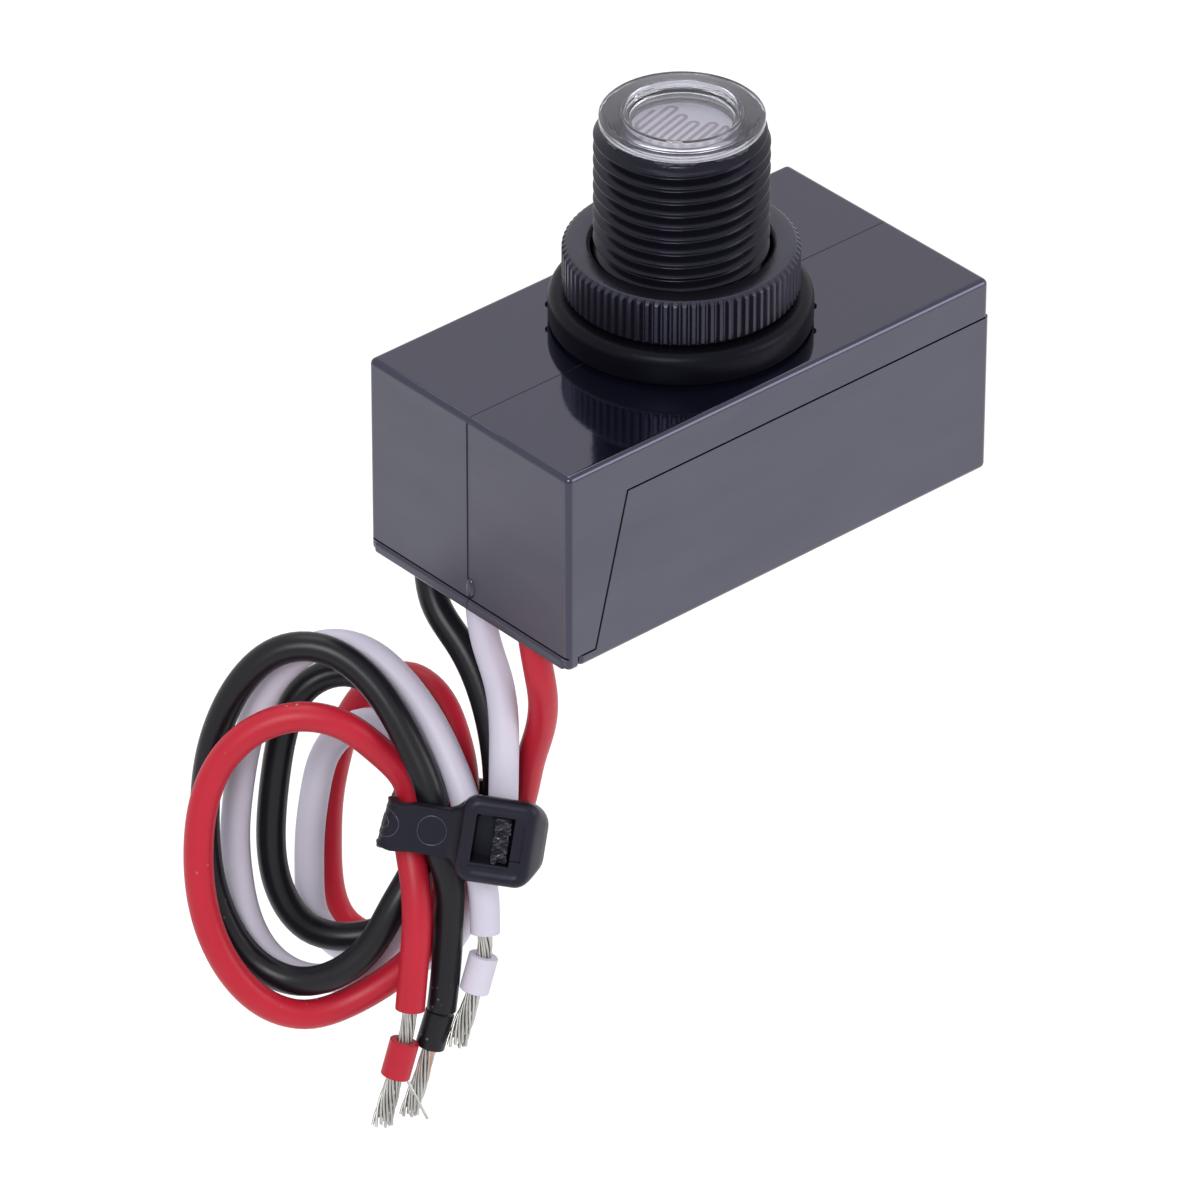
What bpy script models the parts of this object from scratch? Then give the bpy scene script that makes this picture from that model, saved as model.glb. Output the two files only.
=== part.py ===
"""Button photocell switch: a moulded housing with a threaded stem, a light cell and three leads.

Metres, +Z up. The origin is on the stem's axis at the housing's top face. The leads leave the
underside near the left end and are gathered in two loops by a nylon tie.
"""
import math

import bmesh
import bpy
import numpy as np
from mathutils import Matrix, Vector

MM = 0.001

# Clearances
SEAT_GAP = 0.3 * MM
SEAM_GAP = 0.25 * MM
THREAD_CLEARANCE = 0.3 * MM
NOTCH_CLEARANCE = 0.35 * MM

# Housing: the body carries the top, the left end and the stem, and the cover closes the rest
HOUSING_LENGTH = 57.7 * MM
HOUSING_WIDTH = 30.7 * MM
HOUSING_HEIGHT = 23.2 * MM
WALL = 1.5 * MM
FLOOR = 1.3 * MM
CORNER_RADIUS = 0.7 * MM
SEAM_DROP = 4.65 * MM
SEAM_TOP_INSET = 8.05 * MM
SEAM_FOOT_INSET = 3.8 * MM
LIP_DEPTH = 1.7 * MM
LIP_THICKNESS = 0.8 * MM
COVER_PROUD = 0.25 * MM
FOOT_HEIGHT = 1.45 * MM
FOOT_PROUD = 0.2 * MM
FOOT_GROOVE = 0.3 * MM

# Stem and its thread
THREAD_DIAMETER = 18.0 * MM
THREAD_PITCH = 1.5 * MM
THREAD_DEPTH = 0.92 * MM
THREAD_START = 1.75 * MM
THREAD_RUNOUT = 0.95 * MM
STEM_TOP = 23.1 * MM
STEM_WALL = 1.28 * MM

# Gasket and ring nut
GASKET_WALL = 4.3 * MM
GASKET_TOP = 3.75 * MM
GASKET_SHOULDER = 1.0 * MM
NUT_WALL = 2.875 * MM
NUT_HEIGHT = 5.15 * MM
NUT_RIM_CHAMFER = 0.575 * MM
NUT_MOUTH_CHAMFER = 0.4 * MM
NUT_RIBS = 80
RIB_DEPTH = 0.32 * MM

# Clear cap and light cell
CAP_OVERHANG = 0.35 * MM
CAP_EDGE = 0.8 * MM
CAP_SHOULDER_INSET = 0.69 * MM
CAP_SHOULDER_RISE = 0.2 * MM
CAP_TOP_WIDTH = 1.81 * MM
WELL_RIM_RISE = 0.45 * MM
WELL_SLOPE = 0.48 * MM
WELL_DEPTH = 1.1 * MM
WELL_FLOOR = 0.6 * MM
PLUG_LENGTH = 1.5 * MM
PLUG_WALL = 0.7 * MM
CELL_THICKNESS = 2.0 * MM
CELL_LEAD_DIAMETER = 0.6 * MM
CELL_LEAD_SPACING = 3.4 * MM

# Circuit board and what it carries
BOARD_DROP = 4.0 * MM
BOARD_THICKNESS = 1.6 * MM
BOSS_DIAMETER = 3.6 * MM
BOSS_INSET_X = 6.85 * MM
BOSS_INSET_Y = 5.85 * MM
PART_GAP = 0.7 * MM
RELAY_LEFT = 4.5 * MM
RELAY_END_CLEARANCE = 4.1 * MM
RELAY_SIDE_LANE = 6.1 * MM
RELAY_FLOOR_CLEARANCE = 1.0 * MM
DROPPER_RIGHT = 0.5 * MM
DROPPER_WIDTH = 6.0 * MM
DROPPER_WALL_CLEARANCE = 2.25 * MM
DROPPER_FLOOR_CLEARANCE = 5.0 * MM
SMOOTHING_DIAMETER = 8.0 * MM
SMOOTHING_WALL_CLEARANCE = 2.35 * MM
SMOOTHING_FLOOR_CLEARANCE = 4.5 * MM
VARISTOR_DIAMETER = 10.0 * MM
VARISTOR_THICKNESS = 3.8 * MM
VARISTOR_WALL_CLEARANCE = 2.05 * MM
LEAD_BAY = 9.0 * MM
TRANSISTOR_WIDTH = 4.6 * MM
TRANSISTOR_DEPTH = 3.6 * MM
TRANSISTOR_HEIGHT = 4.7 * MM
DIODE_DIAMETER = 2.7 * MM
DIODE_LENGTH = 5.2 * MM
DIODE_WALL_CLEARANCE = 1.5 * MM
ZENER_DIAMETER = 1.9 * MM
ZENER_LENGTH = 4.0 * MM
LOAD_RESISTOR_DIAMETER = 3.8 * MM
LOAD_RESISTOR_LENGTH = 11.0 * MM
LOAD_RESISTOR_Y = -3.2 * MM
SMALL_RESISTOR_DIAMETER = 2.4 * MM
SMALL_RESISTOR_LENGTH = 6.5 * MM
SMALL_RESISTOR_INSET = 3.2 * MM

# Leads: where they leave the floor, and their ends
LEAD_DIAMETER = 3.1 * MM
LEAD_EXIT_INSET = 3.25 * MM
BLACK_EXIT_CLEARANCE = 3.85 * MM
RED_EXIT_CLEARANCE = 7.85 * MM
TERMINAL_DIAMETER = 2.6 * MM
TERMINAL_LENGTH = 1.5 * MM
STRANDS_DIAMETER = 1.5 * MM
STRANDS_FLARE = 1.35
SLUG_LENGTH = 4.0 * MM
TUBE_STEP = 1.0
TUBE_SIDES_RESOLUTION = 2

# The looped leads lie in a leaning frame: across, up and out towards the front, from its middle
LOOP_MIDDLE = Vector((-32.0, -1.7, -48.7)) * MM
LOOP_TURN = math.radians(-42.2)
LOOP_LEAN = math.radians(16.0)

# Routes chosen by hand, in millimetres in the loops' frame, from under the exit to the cut end
LEAD_ROUTES = {
    "black": [
        (-2.4, 23.6, -4.7), (0.1, 19.8, -3.2), (2.2, 15.8, -1.9), (3.5, 11.3, -0.8),
        (4.1, 6.7, -0.1), (3.7, 2.2, -1.3), (1.7, -1.3, -3.8), (-0.3, -5.3, -5.6),
        (-3.0, -8.9, -7.0), (-6.4, -12.2, -7.5), (-10.8, -13.8, -7.7), (-15.4, -13.0, -7.6),
        (-18.3, -9.3, -7.3), (-19.4, -4.7, -7.0), (-19.4, 0.0, -6.8), (-18.9, 4.8, -6.8),
        (-18.0, 9.5, -6.8), (-15.9, 13.6, -6.9), (-11.6, 15.3, -7.1), (-7.6, 13.2, -6.4),
        (-5.6, 9.2, -4.8), (-3.9, 5.5, -2.4), (-3.0, 1.1, -1.2), (-4.2, -3.4, -0.3),
        (-6.5, -7.4, 0.9), (-8.8, -11.5, 1.2), (-12.3, -14.7, 1.1), (-16.8, -16.0, 0.0),
        (-21.0, -14.3, -1.0), (-23.8, -10.5, -1.4), (-25.4, -6.0, -1.7), (-26.0, -1.3, -1.7),
        (-26.0, 3.4, -1.6), (-25.4, 8.2, -1.3), (-24.0, 12.7, -1.0), (-21.7, 16.8, -0.6),
        (-18.1, 19.8, -0.2), (-13.5, 20.1, 0.4), (-9.5, 17.7, 1.3), (-6.6, 14.1, 2.3),
        (-4.3, 9.9, 3.2), (-2.6, 5.5, 4.0), (-2.0, 0.8, 3.8), (-0.8, -3.8, 3.5),
        (-0.8, -8.5, 3.0), (-1.1, -13.3, 2.8), (-1.6, -18.0, 2.7),
    ],
    "white": [
        (2.8, 21.7, 0.6), (4.2, 17.2, 1.6), (4.8, 12.6, 2.8), (4.8, 7.9, 3.6),
        (4.6, 3.2, 3.2), (3.7, -0.9, 0.8), (2.6, -5.2, -1.1), (0.9, -9.2, -3.1),
        (-0.8, -13.1, -5.4), (-3.5, -16.0, -8.0), (-7.4, -17.1, -10.6), (-11.9, -16.5, -11.6),
        (-15.1, -13.0, -11.5), (-15.7, -8.3, -11.0), (-15.6, -3.5, -10.8), (-15.0, 1.3, -10.6),
        (-13.6, 5.9, -10.5), (-10.0, 8.8, -10.0), (-5.6, 8.0, -8.4), (-2.8, 4.6, -6.3),
        (-1.8, 0.5, -4.6), (-2.9, -4.0, -3.6), (-4.3, -8.6, -3.3), (-7.0, -12.6, -3.2),
        (-10.5, -15.8, -3.2), (-15.1, -17.0, -3.6), (-19.3, -15.1, -4.2), (-21.8, -11.0, -4.6),
        (-22.8, -6.4, -4.9), (-23.1, -1.6, -5.0), (-22.7, 3.2, -4.9), (-21.9, 8.0, -4.7),
        (-20.5, 12.5, -4.5), (-18.0, 16.6, -4.1), (-14.2, 19.3, -3.5), (-9.6, 19.0, -2.7),
        (-5.9, 16.3, -1.5), (-3.0, 12.7, -0.1), (-0.8, 8.8, 1.7), (0.9, 4.6, 3.4),
        (1.8, 0.0, 4.2), (2.7, -4.6, 3.4), (2.9, -9.4, 3.3),
    ],
    "red": [
        (8.3, 20.1, 5.6), (8.8, 15.8, 3.6), (8.4, 11.7, 1.1), (7.4, 7.6, -1.2),
        (6.6, 3.3, -3.1), (5.3, -0.8, -5.4), (3.3, -4.6, -7.5), (0.7, -8.2, -9.4),
        (-1.7, -11.7, -11.6), (-4.2, -15.1, -13.9), (-7.9, -17.1, -15.9), (-12.1, -15.5, -16.8),
        (-13.8, -11.0, -16.6), (-14.0, -6.3, -16.1), (-13.8, -1.5, -15.7), (-13.0, 3.2, -15.3),
        (-11.6, 7.8, -14.7), (-9.0, 11.6, -13.5), (-5.3, 13.5, -11.2), (-2.1, 12.2, -8.0),
        (-0.3, 9.2, -4.7), (0.6, 5.8, -1.4), (0.4, 1.5, 0.4), (-0.7, -3.2, 0.1),
        (-1.6, -7.9, -0.2), (-3.4, -12.2, -0.4), (-6.8, -15.6, -0.3), (-10.9, -18.1, 0.1),
        (-15.4, -19.2, 1.3), (-19.7, -17.6, 2.6), (-23.0, -14.2, 3.1), (-25.2, -9.9, 3.1),
        (-26.3, -5.2, 3.1), (-26.5, -0.4, 3.1), (-25.9, 4.4, 3.1), (-24.1, 8.8, 3.1),
        (-20.8, 12.2, 3.3), (-16.3, 13.8, 3.3), (-11.7, 12.8, 2.8), (-7.9, 9.5, 1.4),
        (-5.0, 5.7, 1.0), (-5.0, 1.3, 1.7), (-4.4, -3.2, 3.3), (-4.1, -7.9, 4.2),
        (-4.4, -12.7, 4.2), (-4.8, -17.5, 4.2),
    ],
}

# Stripped ends in the same frame: conductor points after the cut, and where each slug begins
STRAND_ROUTES = {
    "black": [(-1.65, -18.4, 2.7), (-2.8, -22.2, 2.7), (-3.9, -26.0, 2.7), (-5.0, -29.7, 2.7)],
    "white": [(2.95, -9.8, 3.3), (2.8, -11.8, 3.3), (1.7, -16.0, 3.3), (-0.1, -21.8, 3.3)],
    "red": [(-4.85, -17.9, 4.2), (-5.3, -20.9, 4.2), (-6.4, -24.8, 4.2), (-7.7, -30.3, 4.2)],
}
SLUG_ENDS = {
    "black": ((-1.8, -18.5, 2.7), (-2.9, -22.4, 2.7)),
    "white": ((2.8, -11.8, 3.3), (1.75, -15.8, 3.3)),
    "red": ((-5.35, -21.0, 4.2), (-6.35, -24.8, 4.2)),
}

# Nylon tie, in the loops' frame: the strap's inner line hugs the nine passes of the leads
TIE_PLACE = (0.6 * MM, 2.3 * MM)
TIE_TURN = math.radians(-7.0)
TIE_WIDTH = 5.2 * MM
TIE_THICKNESS = 1.1 * MM
TIE_INNER_LINE = [
    (7.45, -1.6), (6.75, 2.4), (3.9, 5.5), (-0.2, 5.95), (-4.3, 5.6), (-7.5, 2.9),
    (-8.0, -0.4), (-6.9, -7.4), (-4.6, -9.2), (-0.2, -8.6), (5.2, -7.5), (7.1, -5.6),
]
TIE_HEAD_LOW = (0.3 * MM, -3.8 * MM, 6.0 * MM)
TIE_HEAD_HIGH = (7.5 * MM, 5.6 * MM, 9.5 * MM)
TIE_HEAD_RADIUS = 0.6 * MM
SLOT_LOW = (1.3 * MM, -1.7 * MM, 7.4 * MM)
SLOT_HIGH = (4.9 * MM, 3.6 * MM, 9.9 * MM)
TAIL_LOW = (3.0 * MM, -1.4 * MM, 7.2 * MM)
TAIL_HIGH = (4.3 * MM, 3.3 * MM, 9.1 * MM)
TIE_MARK_PLACE = (-3.0 * MM, 0.4 * MM)
TIE_MARK_DIAMETER = 3.2 * MM
TIE_MARK_DEPTH = 0.2 * MM

ROUND_STEPS = 64
HALF_STEP = math.pi / ROUND_STEPS
CUT_MARGIN = 2.0 * MM

# Worked out from the sizes above
LEFT = -HOUSING_LENGTH / 2
RIGHT = HOUSING_LENGTH / 2
BACK = HOUSING_WIDTH / 2
FLOOR_TOP = -HOUSING_HEIGHT + FLOOR
LIP_BOTTOM = -SEAM_DROP - LIP_DEPTH
LIP_OUTSIDE = WALL + SEAT_GAP
LIP_INSIDE = LIP_OUTSIDE + LIP_THICKNESS
INNER_SIDE = BACK - WALL
INNER_RIGHT = RIGHT + COVER_PROUD - WALL
STEM_ROOT_RADIUS = THREAD_DIAMETER / 2 - THREAD_DEPTH
STEM_BORE_RADIUS = STEM_ROOT_RADIUS - STEM_WALL
THREAD_TURNS = (STEM_TOP - THREAD_RUNOUT - THREAD_START) / THREAD_PITCH
RING_BORE_RADIUS = THREAD_DIAMETER / 2 + THREAD_CLEARANCE
BOARD_TOP = -BOARD_DROP
BOARD_UNDERSIDE = BOARD_TOP - BOARD_THICKNESS
COMPONENT_TOP = BOARD_UNDERSIDE - SEAT_GAP
LEAD_EXIT_X = LEFT + LEAD_EXIT_INSET
LEAD_EXIT_Y = {
    "black": INNER_SIDE - BLACK_EXIT_CLEARANCE,
    "white": (RED_EXIT_CLEARANCE - BLACK_EXIT_CLEARANCE) / 2,
    "red": RED_EXIT_CLEARANCE - INNER_SIDE,
}
LEAD_TOP = COMPONENT_TOP - TERMINAL_LENGTH - SEAT_GAP
NUT_BOTTOM = GASKET_TOP + SEAT_GAP
NUT_TOP = NUT_BOTTOM + NUT_HEIGHT
CAP_UNDERSIDE = STEM_TOP + SEAT_GAP
CELL_RADIUS = STEM_BORE_RADIUS - 2 * SEAT_GAP - PLUG_WALL
RELAY_RIGHT = INNER_RIGHT - RELAY_END_CLEARANCE
LANE_MIDDLE = INNER_SIDE - RELAY_SIDE_LANE / 2
SMALL_RESISTOR_X = RELAY_LEFT + SMALL_RESISTOR_INSET + SMALL_RESISTOR_LENGTH / 2
LOAD_RESISTOR_X = RELAY_LEFT - PART_GAP - LOAD_RESISTOR_DIAMETER / 2
DIODE_X = LEFT + LEAD_BAY + DIODE_LENGTH / 2
DIODE_Y = DIODE_WALL_CLEARANCE + DIODE_DIAMETER / 2 - INNER_SIDE
NEXT_DIODE_Y = DIODE_Y + DIODE_DIAMETER + PART_GAP
ZENER_Y = NEXT_DIODE_Y + DIODE_DIAMETER / 2 + PART_GAP + ZENER_DIAMETER / 2
VARISTOR_RIGHT = LEFT + LEAD_BAY + 2 * PART_GAP + VARISTOR_THICKNESS
AXIAL_PARTS = {
    "rectifier_diode_1": ((DIODE_X, DIODE_Y), "X", DIODE_DIAMETER, DIODE_LENGTH),
    "rectifier_diode_2": ((DIODE_X, NEXT_DIODE_Y), "X", DIODE_DIAMETER, DIODE_LENGTH),
    "zener_diode": ((DIODE_X, ZENER_Y), "X", ZENER_DIAMETER, ZENER_LENGTH),
    "load_resistor": (
        (LOAD_RESISTOR_X, LOAD_RESISTOR_Y), "Y", LOAD_RESISTOR_DIAMETER, LOAD_RESISTOR_LENGTH
    ),
    "bleed_resistor": (
        (SMALL_RESISTOR_X, LANE_MIDDLE), "X", SMALL_RESISTOR_DIAMETER, SMALL_RESISTOR_LENGTH
    ),
    "delay_resistor": (
        (SMALL_RESISTOR_X, -LANE_MIDDLE), "X", SMALL_RESISTOR_DIAMETER, SMALL_RESISTOR_LENGTH
    ),
}


def clear_scene():
    for obj in list(bpy.data.objects):
        bpy.data.objects.remove(obj, do_unlink=True)


def make_collection(name):
    collection = bpy.data.collections.new(name)
    bpy.context.scene.collection.children.link(collection)
    return collection


def make_material(name, color, roughness, metallic=0.0, transmission=0.0):
    material = bpy.data.materials.new(name)
    material.use_nodes = True
    shader = material.node_tree.nodes["Principled BSDF"]
    shader.inputs["Base Color"].default_value = (*color, 1.0)
    shader.inputs["Roughness"].default_value = roughness
    shader.inputs["Metallic"].default_value = metallic
    shader.inputs["Transmission Weight"].default_value = transmission
    material.diffuse_color = (*color, 1.0)
    return material


def add_object(name, mesh, cutter=False):
    obj = bpy.data.objects.new(name, mesh)
    (CUTTERS if cutter else PARTS).objects.link(obj)
    if cutter:
        obj.hide_render = True
        obj.display_type = "WIRE"
    return obj


def mesh_from(bm, name):
    bmesh.ops.recalc_face_normals(bm, faces=bm.faces)
    mesh = bpy.data.meshes.new(name)
    bm.to_mesh(mesh)
    bm.free()
    return mesh


def box(name, low, high, cutter=False):
    """Box between two corners, with its origin at its middle."""
    low, high = Vector(low), Vector(high)
    bm = bmesh.new()
    bmesh.ops.create_cube(bm, size=1.0)
    bmesh.ops.scale(bm, vec=high - low, verts=bm.verts)
    obj = add_object(name, mesh_from(bm, name), cutter)
    obj.location = (low + high) / 2
    return obj


def cylinder(name, radius, bottom, top, place=(0.0, 0.0), steps=ROUND_STEPS, cutter=False):
    bm = bmesh.new()
    bmesh.ops.create_cone(
        bm, cap_ends=True, segments=steps, radius1=radius, radius2=radius, depth=top - bottom
    )
    obj = add_object(name, mesh_from(bm, name), cutter)
    obj.location = (place[0], place[1], (top + bottom) / 2)
    return obj


def turned(name, profile, closed=False, steps=ROUND_STEPS, cutter=False):
    """Turn a profile of (radius, height) points, given from the top down, about Z."""
    bm = bmesh.new()
    verts = [bm.verts.new((radius, 0.0, height)) for radius, height in profile]
    pairs = list(zip(verts, verts[1:]))
    if closed:
        pairs.append((verts[-1], verts[0]))
    for start, end in pairs:
        bm.edges.new((start, end))
    mesh = bpy.data.meshes.new(name)
    bm.to_mesh(mesh)
    bm.free()
    obj = add_object(name, mesh, cutter)
    screw = obj.modifiers.new("turn", "SCREW")
    screw.axis = "Z"
    screw.steps = steps
    screw.render_steps = steps
    screw.use_merge_vertices = True
    screw.merge_threshold = 0.00001
    return obj


def prism(name, outline, low, high, cutter=False):
    """Extrude an outline in X and Y from one height to another."""
    bm = bmesh.new()
    face = bm.faces.new([bm.verts.new((x, y, low)) for x, y in outline])
    raised = bmesh.ops.extrude_face_region(bm, geom=[face])["geom"]
    top = [item for item in raised if isinstance(item, bmesh.types.BMVert)]
    bmesh.ops.translate(bm, vec=(0.0, 0.0, high - low), verts=top)
    return add_object(name, mesh_from(bm, name), cutter)


def combine(obj, other, operation):
    modifier = obj.modifiers.new(operation.lower(), "BOOLEAN")
    modifier.operation = operation
    modifier.solver = "EXACT"
    modifier.object = other
    return modifier


def round_edges(obj, width, segments=2, angle=30.0):
    modifier = obj.modifiers.new("round", "BEVEL")
    modifier.width = width
    modifier.segments = segments
    modifier.limit_method = "ANGLE"
    modifier.angle_limit = math.radians(angle)
    return modifier


def finish(obj, material, smooth=None):
    obj.data.materials.clear()
    obj.data.materials.append(material)
    if smooth is not None:
        obj.data.shade_smooth()
        obj.data.set_sharp_from_angle(angle=math.radians(smooth))


def arc(middle, radius, start, end, steps):
    """Points of an arc in degrees, both ends included."""
    angles = [math.radians(start + (end - start) * i / steps) for i in range(steps + 1)]
    return [(middle[0] + radius * math.cos(a), middle[1] + radius * math.sin(a)) for a in angles]


def smooth_line(points, step):
    """Natural cubic curve through the points, read at an even spacing close to step."""
    points = np.array(points, dtype=float)
    chords = np.linalg.norm(np.diff(points, axis=0), axis=1)
    knots = np.concatenate(([0.0], np.cumsum(np.sqrt(chords))))
    count = len(points)
    gaps = np.diff(knots)
    matrix = np.eye(count)
    right_side = np.zeros_like(points)
    for i in range(1, count - 1):
        matrix[i, i - 1 : i + 2] = (gaps[i - 1], 2 * (gaps[i - 1] + gaps[i]), gaps[i])
        slope_after = (points[i + 1] - points[i]) / gaps[i]
        slope_before = (points[i] - points[i - 1]) / gaps[i - 1]
        right_side[i] = 6 * (slope_after - slope_before)
    bends = np.linalg.solve(matrix, right_side)
    fine = []
    for i, gap in enumerate(gaps):
        for t in np.linspace(0.0, gap, 40, endpoint=False):
            before, after = gap - t, t
            near = points[i] / gap - bends[i] * gap / 6
            far = points[i + 1] / gap - bends[i + 1] * gap / 6
            curved = (bends[i] * before**3 + bends[i + 1] * after**3) / (6 * gap)
            fine.append(curved + near * before + far * after)
    fine = np.array(fine + [points[-1]])
    lengths = np.concatenate(([0.0], np.cumsum(np.linalg.norm(np.diff(fine, axis=0), axis=1))))
    marks = np.linspace(0.0, lengths[-1], max(2, round(lengths[-1] / step) + 1))
    return np.column_stack([np.interp(marks, lengths, fine[:, axis]) for axis in range(3)])


def loop_matrix():
    """Frame of the looped leads: X across, Y up, Z out towards the front."""
    across = Vector((math.cos(LOOP_TURN), math.sin(LOOP_TURN), 0.0))
    level_out = Vector((math.sin(LOOP_TURN), -math.cos(LOOP_TURN), 0.0))
    up = Vector((0.0, 0.0, 1.0)) * math.cos(LOOP_LEAN) - level_out * math.sin(LOOP_LEAN)
    matrix = Matrix((across, up, across.cross(up))).transposed().to_4x4()
    matrix.translation = LOOP_MIDDLE
    return matrix


def loop_points(route):
    matrix = loop_matrix()
    return [matrix @ (Vector(point) * MM) for point in route]


def tube(name, points, diameter, end_scale=1.0):
    """Curve object with a round section through the points."""
    curve = bpy.data.curves.new(name, "CURVE")
    curve.dimensions = "3D"
    curve.bevel_depth = diameter / 2
    curve.bevel_resolution = TUBE_SIDES_RESOLUTION
    curve.use_fill_caps = True
    spline = curve.splines.new("POLY")
    spline.points.add(len(points) - 1)
    for i, point in enumerate(points):
        spline.points[i].co = (*point, 1.0)
        spline.points[i].radius = 1.0 + (end_scale - 1.0) * (i / (len(points) - 1)) ** 2
    return add_object(name, curve)


def seam_outline(grow):
    """Side view of the cover, in X and Z, grown by a clearance at the edges that meet the body."""
    past_right = RIGHT + CUT_MARGIN
    below = -HOUSING_HEIGHT - CUT_MARGIN
    return [
        (past_right, below),
        (past_right, -SEAM_DROP + grow),
        (LEFT + SEAM_TOP_INSET - grow, -SEAM_DROP + grow),
        (LEFT + SEAM_FOOT_INSET - grow, FLOOR_TOP + grow),
        (LEFT + WALL - grow, FLOOR_TOP + grow),
        (LEFT + WALL - grow, below),
    ]


def seam_prism(name, grow):
    """The seam's outline carried right across the housing's width."""
    reach = BACK + CUT_MARGIN
    outline = [(x, z) for x, z in seam_outline(grow)]
    obj = prism(name, outline, -reach, reach, cutter=True)
    obj.rotation_euler = (math.radians(90.0), 0.0, 0.0)
    return obj


def inset_box(name, inset, bottom, top):
    low = (LEFT + inset, -BACK + inset, bottom)
    high = (RIGHT - inset, BACK - inset, top)
    return box(name, low, high, cutter=True)


def thread_ridge():
    """Ridge of the stem's thread: a tapered section swept along a helix."""
    root = STEM_ROOT_RADIUS - 0.1 * MM
    crest = THREAD_DIAMETER / 2
    root_half = 0.44 * THREAD_PITCH
    crest_half = 0.08 * THREAD_PITCH
    section = [(root, -root_half), (crest, -crest_half), (crest, crest_half), (root, root_half)]
    steps = round(THREAD_TURNS * ROUND_STEPS / 2)
    bm = bmesh.new()
    face = bm.faces.new([bm.verts.new((x, 0.0, THREAD_START + z)) for x, z in section])
    bmesh.ops.spin(
        bm, geom=[face, *face.edges, *face.verts], axis=(0.0, 0.0, 1.0), cent=(0.0, 0.0, 0.0),
        dvec=(0.0, 0.0, 2 * THREAD_PITCH / ROUND_STEPS), steps=steps,
        angle=steps * 4 * math.pi / ROUND_STEPS,
    )
    open_edges = [edge for edge in bm.edges if edge.is_boundary]
    bmesh.ops.holes_fill(bm, edges=open_edges)
    ridge = add_object("stem_thread", mesh_from(bm, "stem_thread"), cutter=True)
    ridge.rotation_euler.z = HALF_STEP
    return ridge


def make_housing_body(material):
    body = box("housing_body", (LEFT, -BACK, -HOUSING_HEIGHT), (RIGHT, BACK, 0.0))
    round_edges(body, CORNER_RADIUS, segments=3)

    foot_low = (LEFT - FOOT_PROUD, -BACK + CORNER_RADIUS, -HOUSING_HEIGHT)
    foot_high = (LEFT + WALL / 2, BACK - CORNER_RADIUS, -HOUSING_HEIGHT + FOOT_HEIGHT)
    foot = box("foot_strip", foot_low, foot_high, cutter=True)
    round_edges(foot, 0.45 * MM)
    combine(body, foot, "UNION")
    groove_low = (LEFT - CUT_MARGIN, -BACK - CUT_MARGIN, foot_high[2])
    groove_high = (LEFT + FOOT_GROOVE, BACK + CUT_MARGIN, foot_high[2] + FOOT_GROOVE)
    combine(body, box("foot_groove", groove_low, groove_high, cutter=True), "DIFFERENCE")

    cover_zone = seam_prism("cover_zone", SEAM_GAP)
    lip_block = inset_box("lip_block", LIP_OUTSIDE, LIP_BOTTOM - CUT_MARGIN, CUT_MARGIN)
    combine(cover_zone, lip_block, "DIFFERENCE")
    combine(body, cover_zone, "DIFFERENCE")
    upper = inset_box("upper_cavity", LIP_INSIDE, LIP_BOTTOM - CUT_MARGIN / 2, -WALL)
    combine(body, upper, "DIFFERENCE")
    lower = inset_box("lower_cavity", WALL, -HOUSING_HEIGHT - CUT_MARGIN, LIP_BOTTOM)
    combine(body, lower, "DIFFERENCE")

    stem_profile = [
        (0.0, STEM_TOP),
        (STEM_ROOT_RADIUS - 0.25 * MM, STEM_TOP),
        (STEM_ROOT_RADIUS, STEM_TOP - 0.25 * MM),
        (STEM_ROOT_RADIUS, -WALL / 2),
        (0.0, -WALL / 2),
    ]
    stem = turned("stem_core", stem_profile, cutter=True)
    combine(stem, thread_ridge(), "UNION")
    combine(body, stem, "UNION")
    bore = cylinder("stem_bore", STEM_BORE_RADIUS, -2 * WALL, STEM_TOP + CUT_MARGIN, cutter=True)
    bore.rotation_euler.z = HALF_STEP
    combine(body, bore, "DIFFERENCE")

    for side_x in (-1, 1):
        for side_y in (-1, 1):
            place = (side_x * (RIGHT - BOSS_INSET_X), side_y * (BACK - BOSS_INSET_Y))
            boss = cylinder(
                "board_boss", BOSS_DIAMETER / 2, BOARD_TOP + SEAT_GAP, -WALL / 2, place,
                steps=16, cutter=True,
            )
            combine(body, boss, "UNION")
    finish(body, material, smooth=32.0)


def make_housing_cover(material):
    low = (LEFT + WALL, -BACK, -HOUSING_HEIGHT)
    cover = box("housing_cover", low, (RIGHT + COVER_PROUD, BACK, 0.0))
    round_edges(cover, CORNER_RADIUS, segments=3)
    combine(cover, seam_prism("cover_blank", 0.0), "INTERSECT")
    inner_low = (LEFT, -BACK + WALL, FLOOR_TOP)
    inner_high = (RIGHT + COVER_PROUD - WALL, BACK - WALL, CUT_MARGIN)
    combine(cover, box("cover_cavity", inner_low, inner_high, cutter=True), "DIFFERENCE")
    radius = LEAD_DIAMETER / 2 + NOTCH_CLEARANCE
    for y in LEAD_EXIT_Y.values():
        outline = [(LEFT, y + radius), (LEFT, y - radius)]
        outline += arc((LEAD_EXIT_X, y), radius, -90.0, 90.0, 12)
        notch = prism(
            "lead_notch", outline, -HOUSING_HEIGHT - CUT_MARGIN, FLOOR_TOP + CUT_MARGIN, cutter=True
        )
        combine(cover, notch, "DIFFERENCE")
    finish(cover, material, smooth=32.0)


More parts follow.
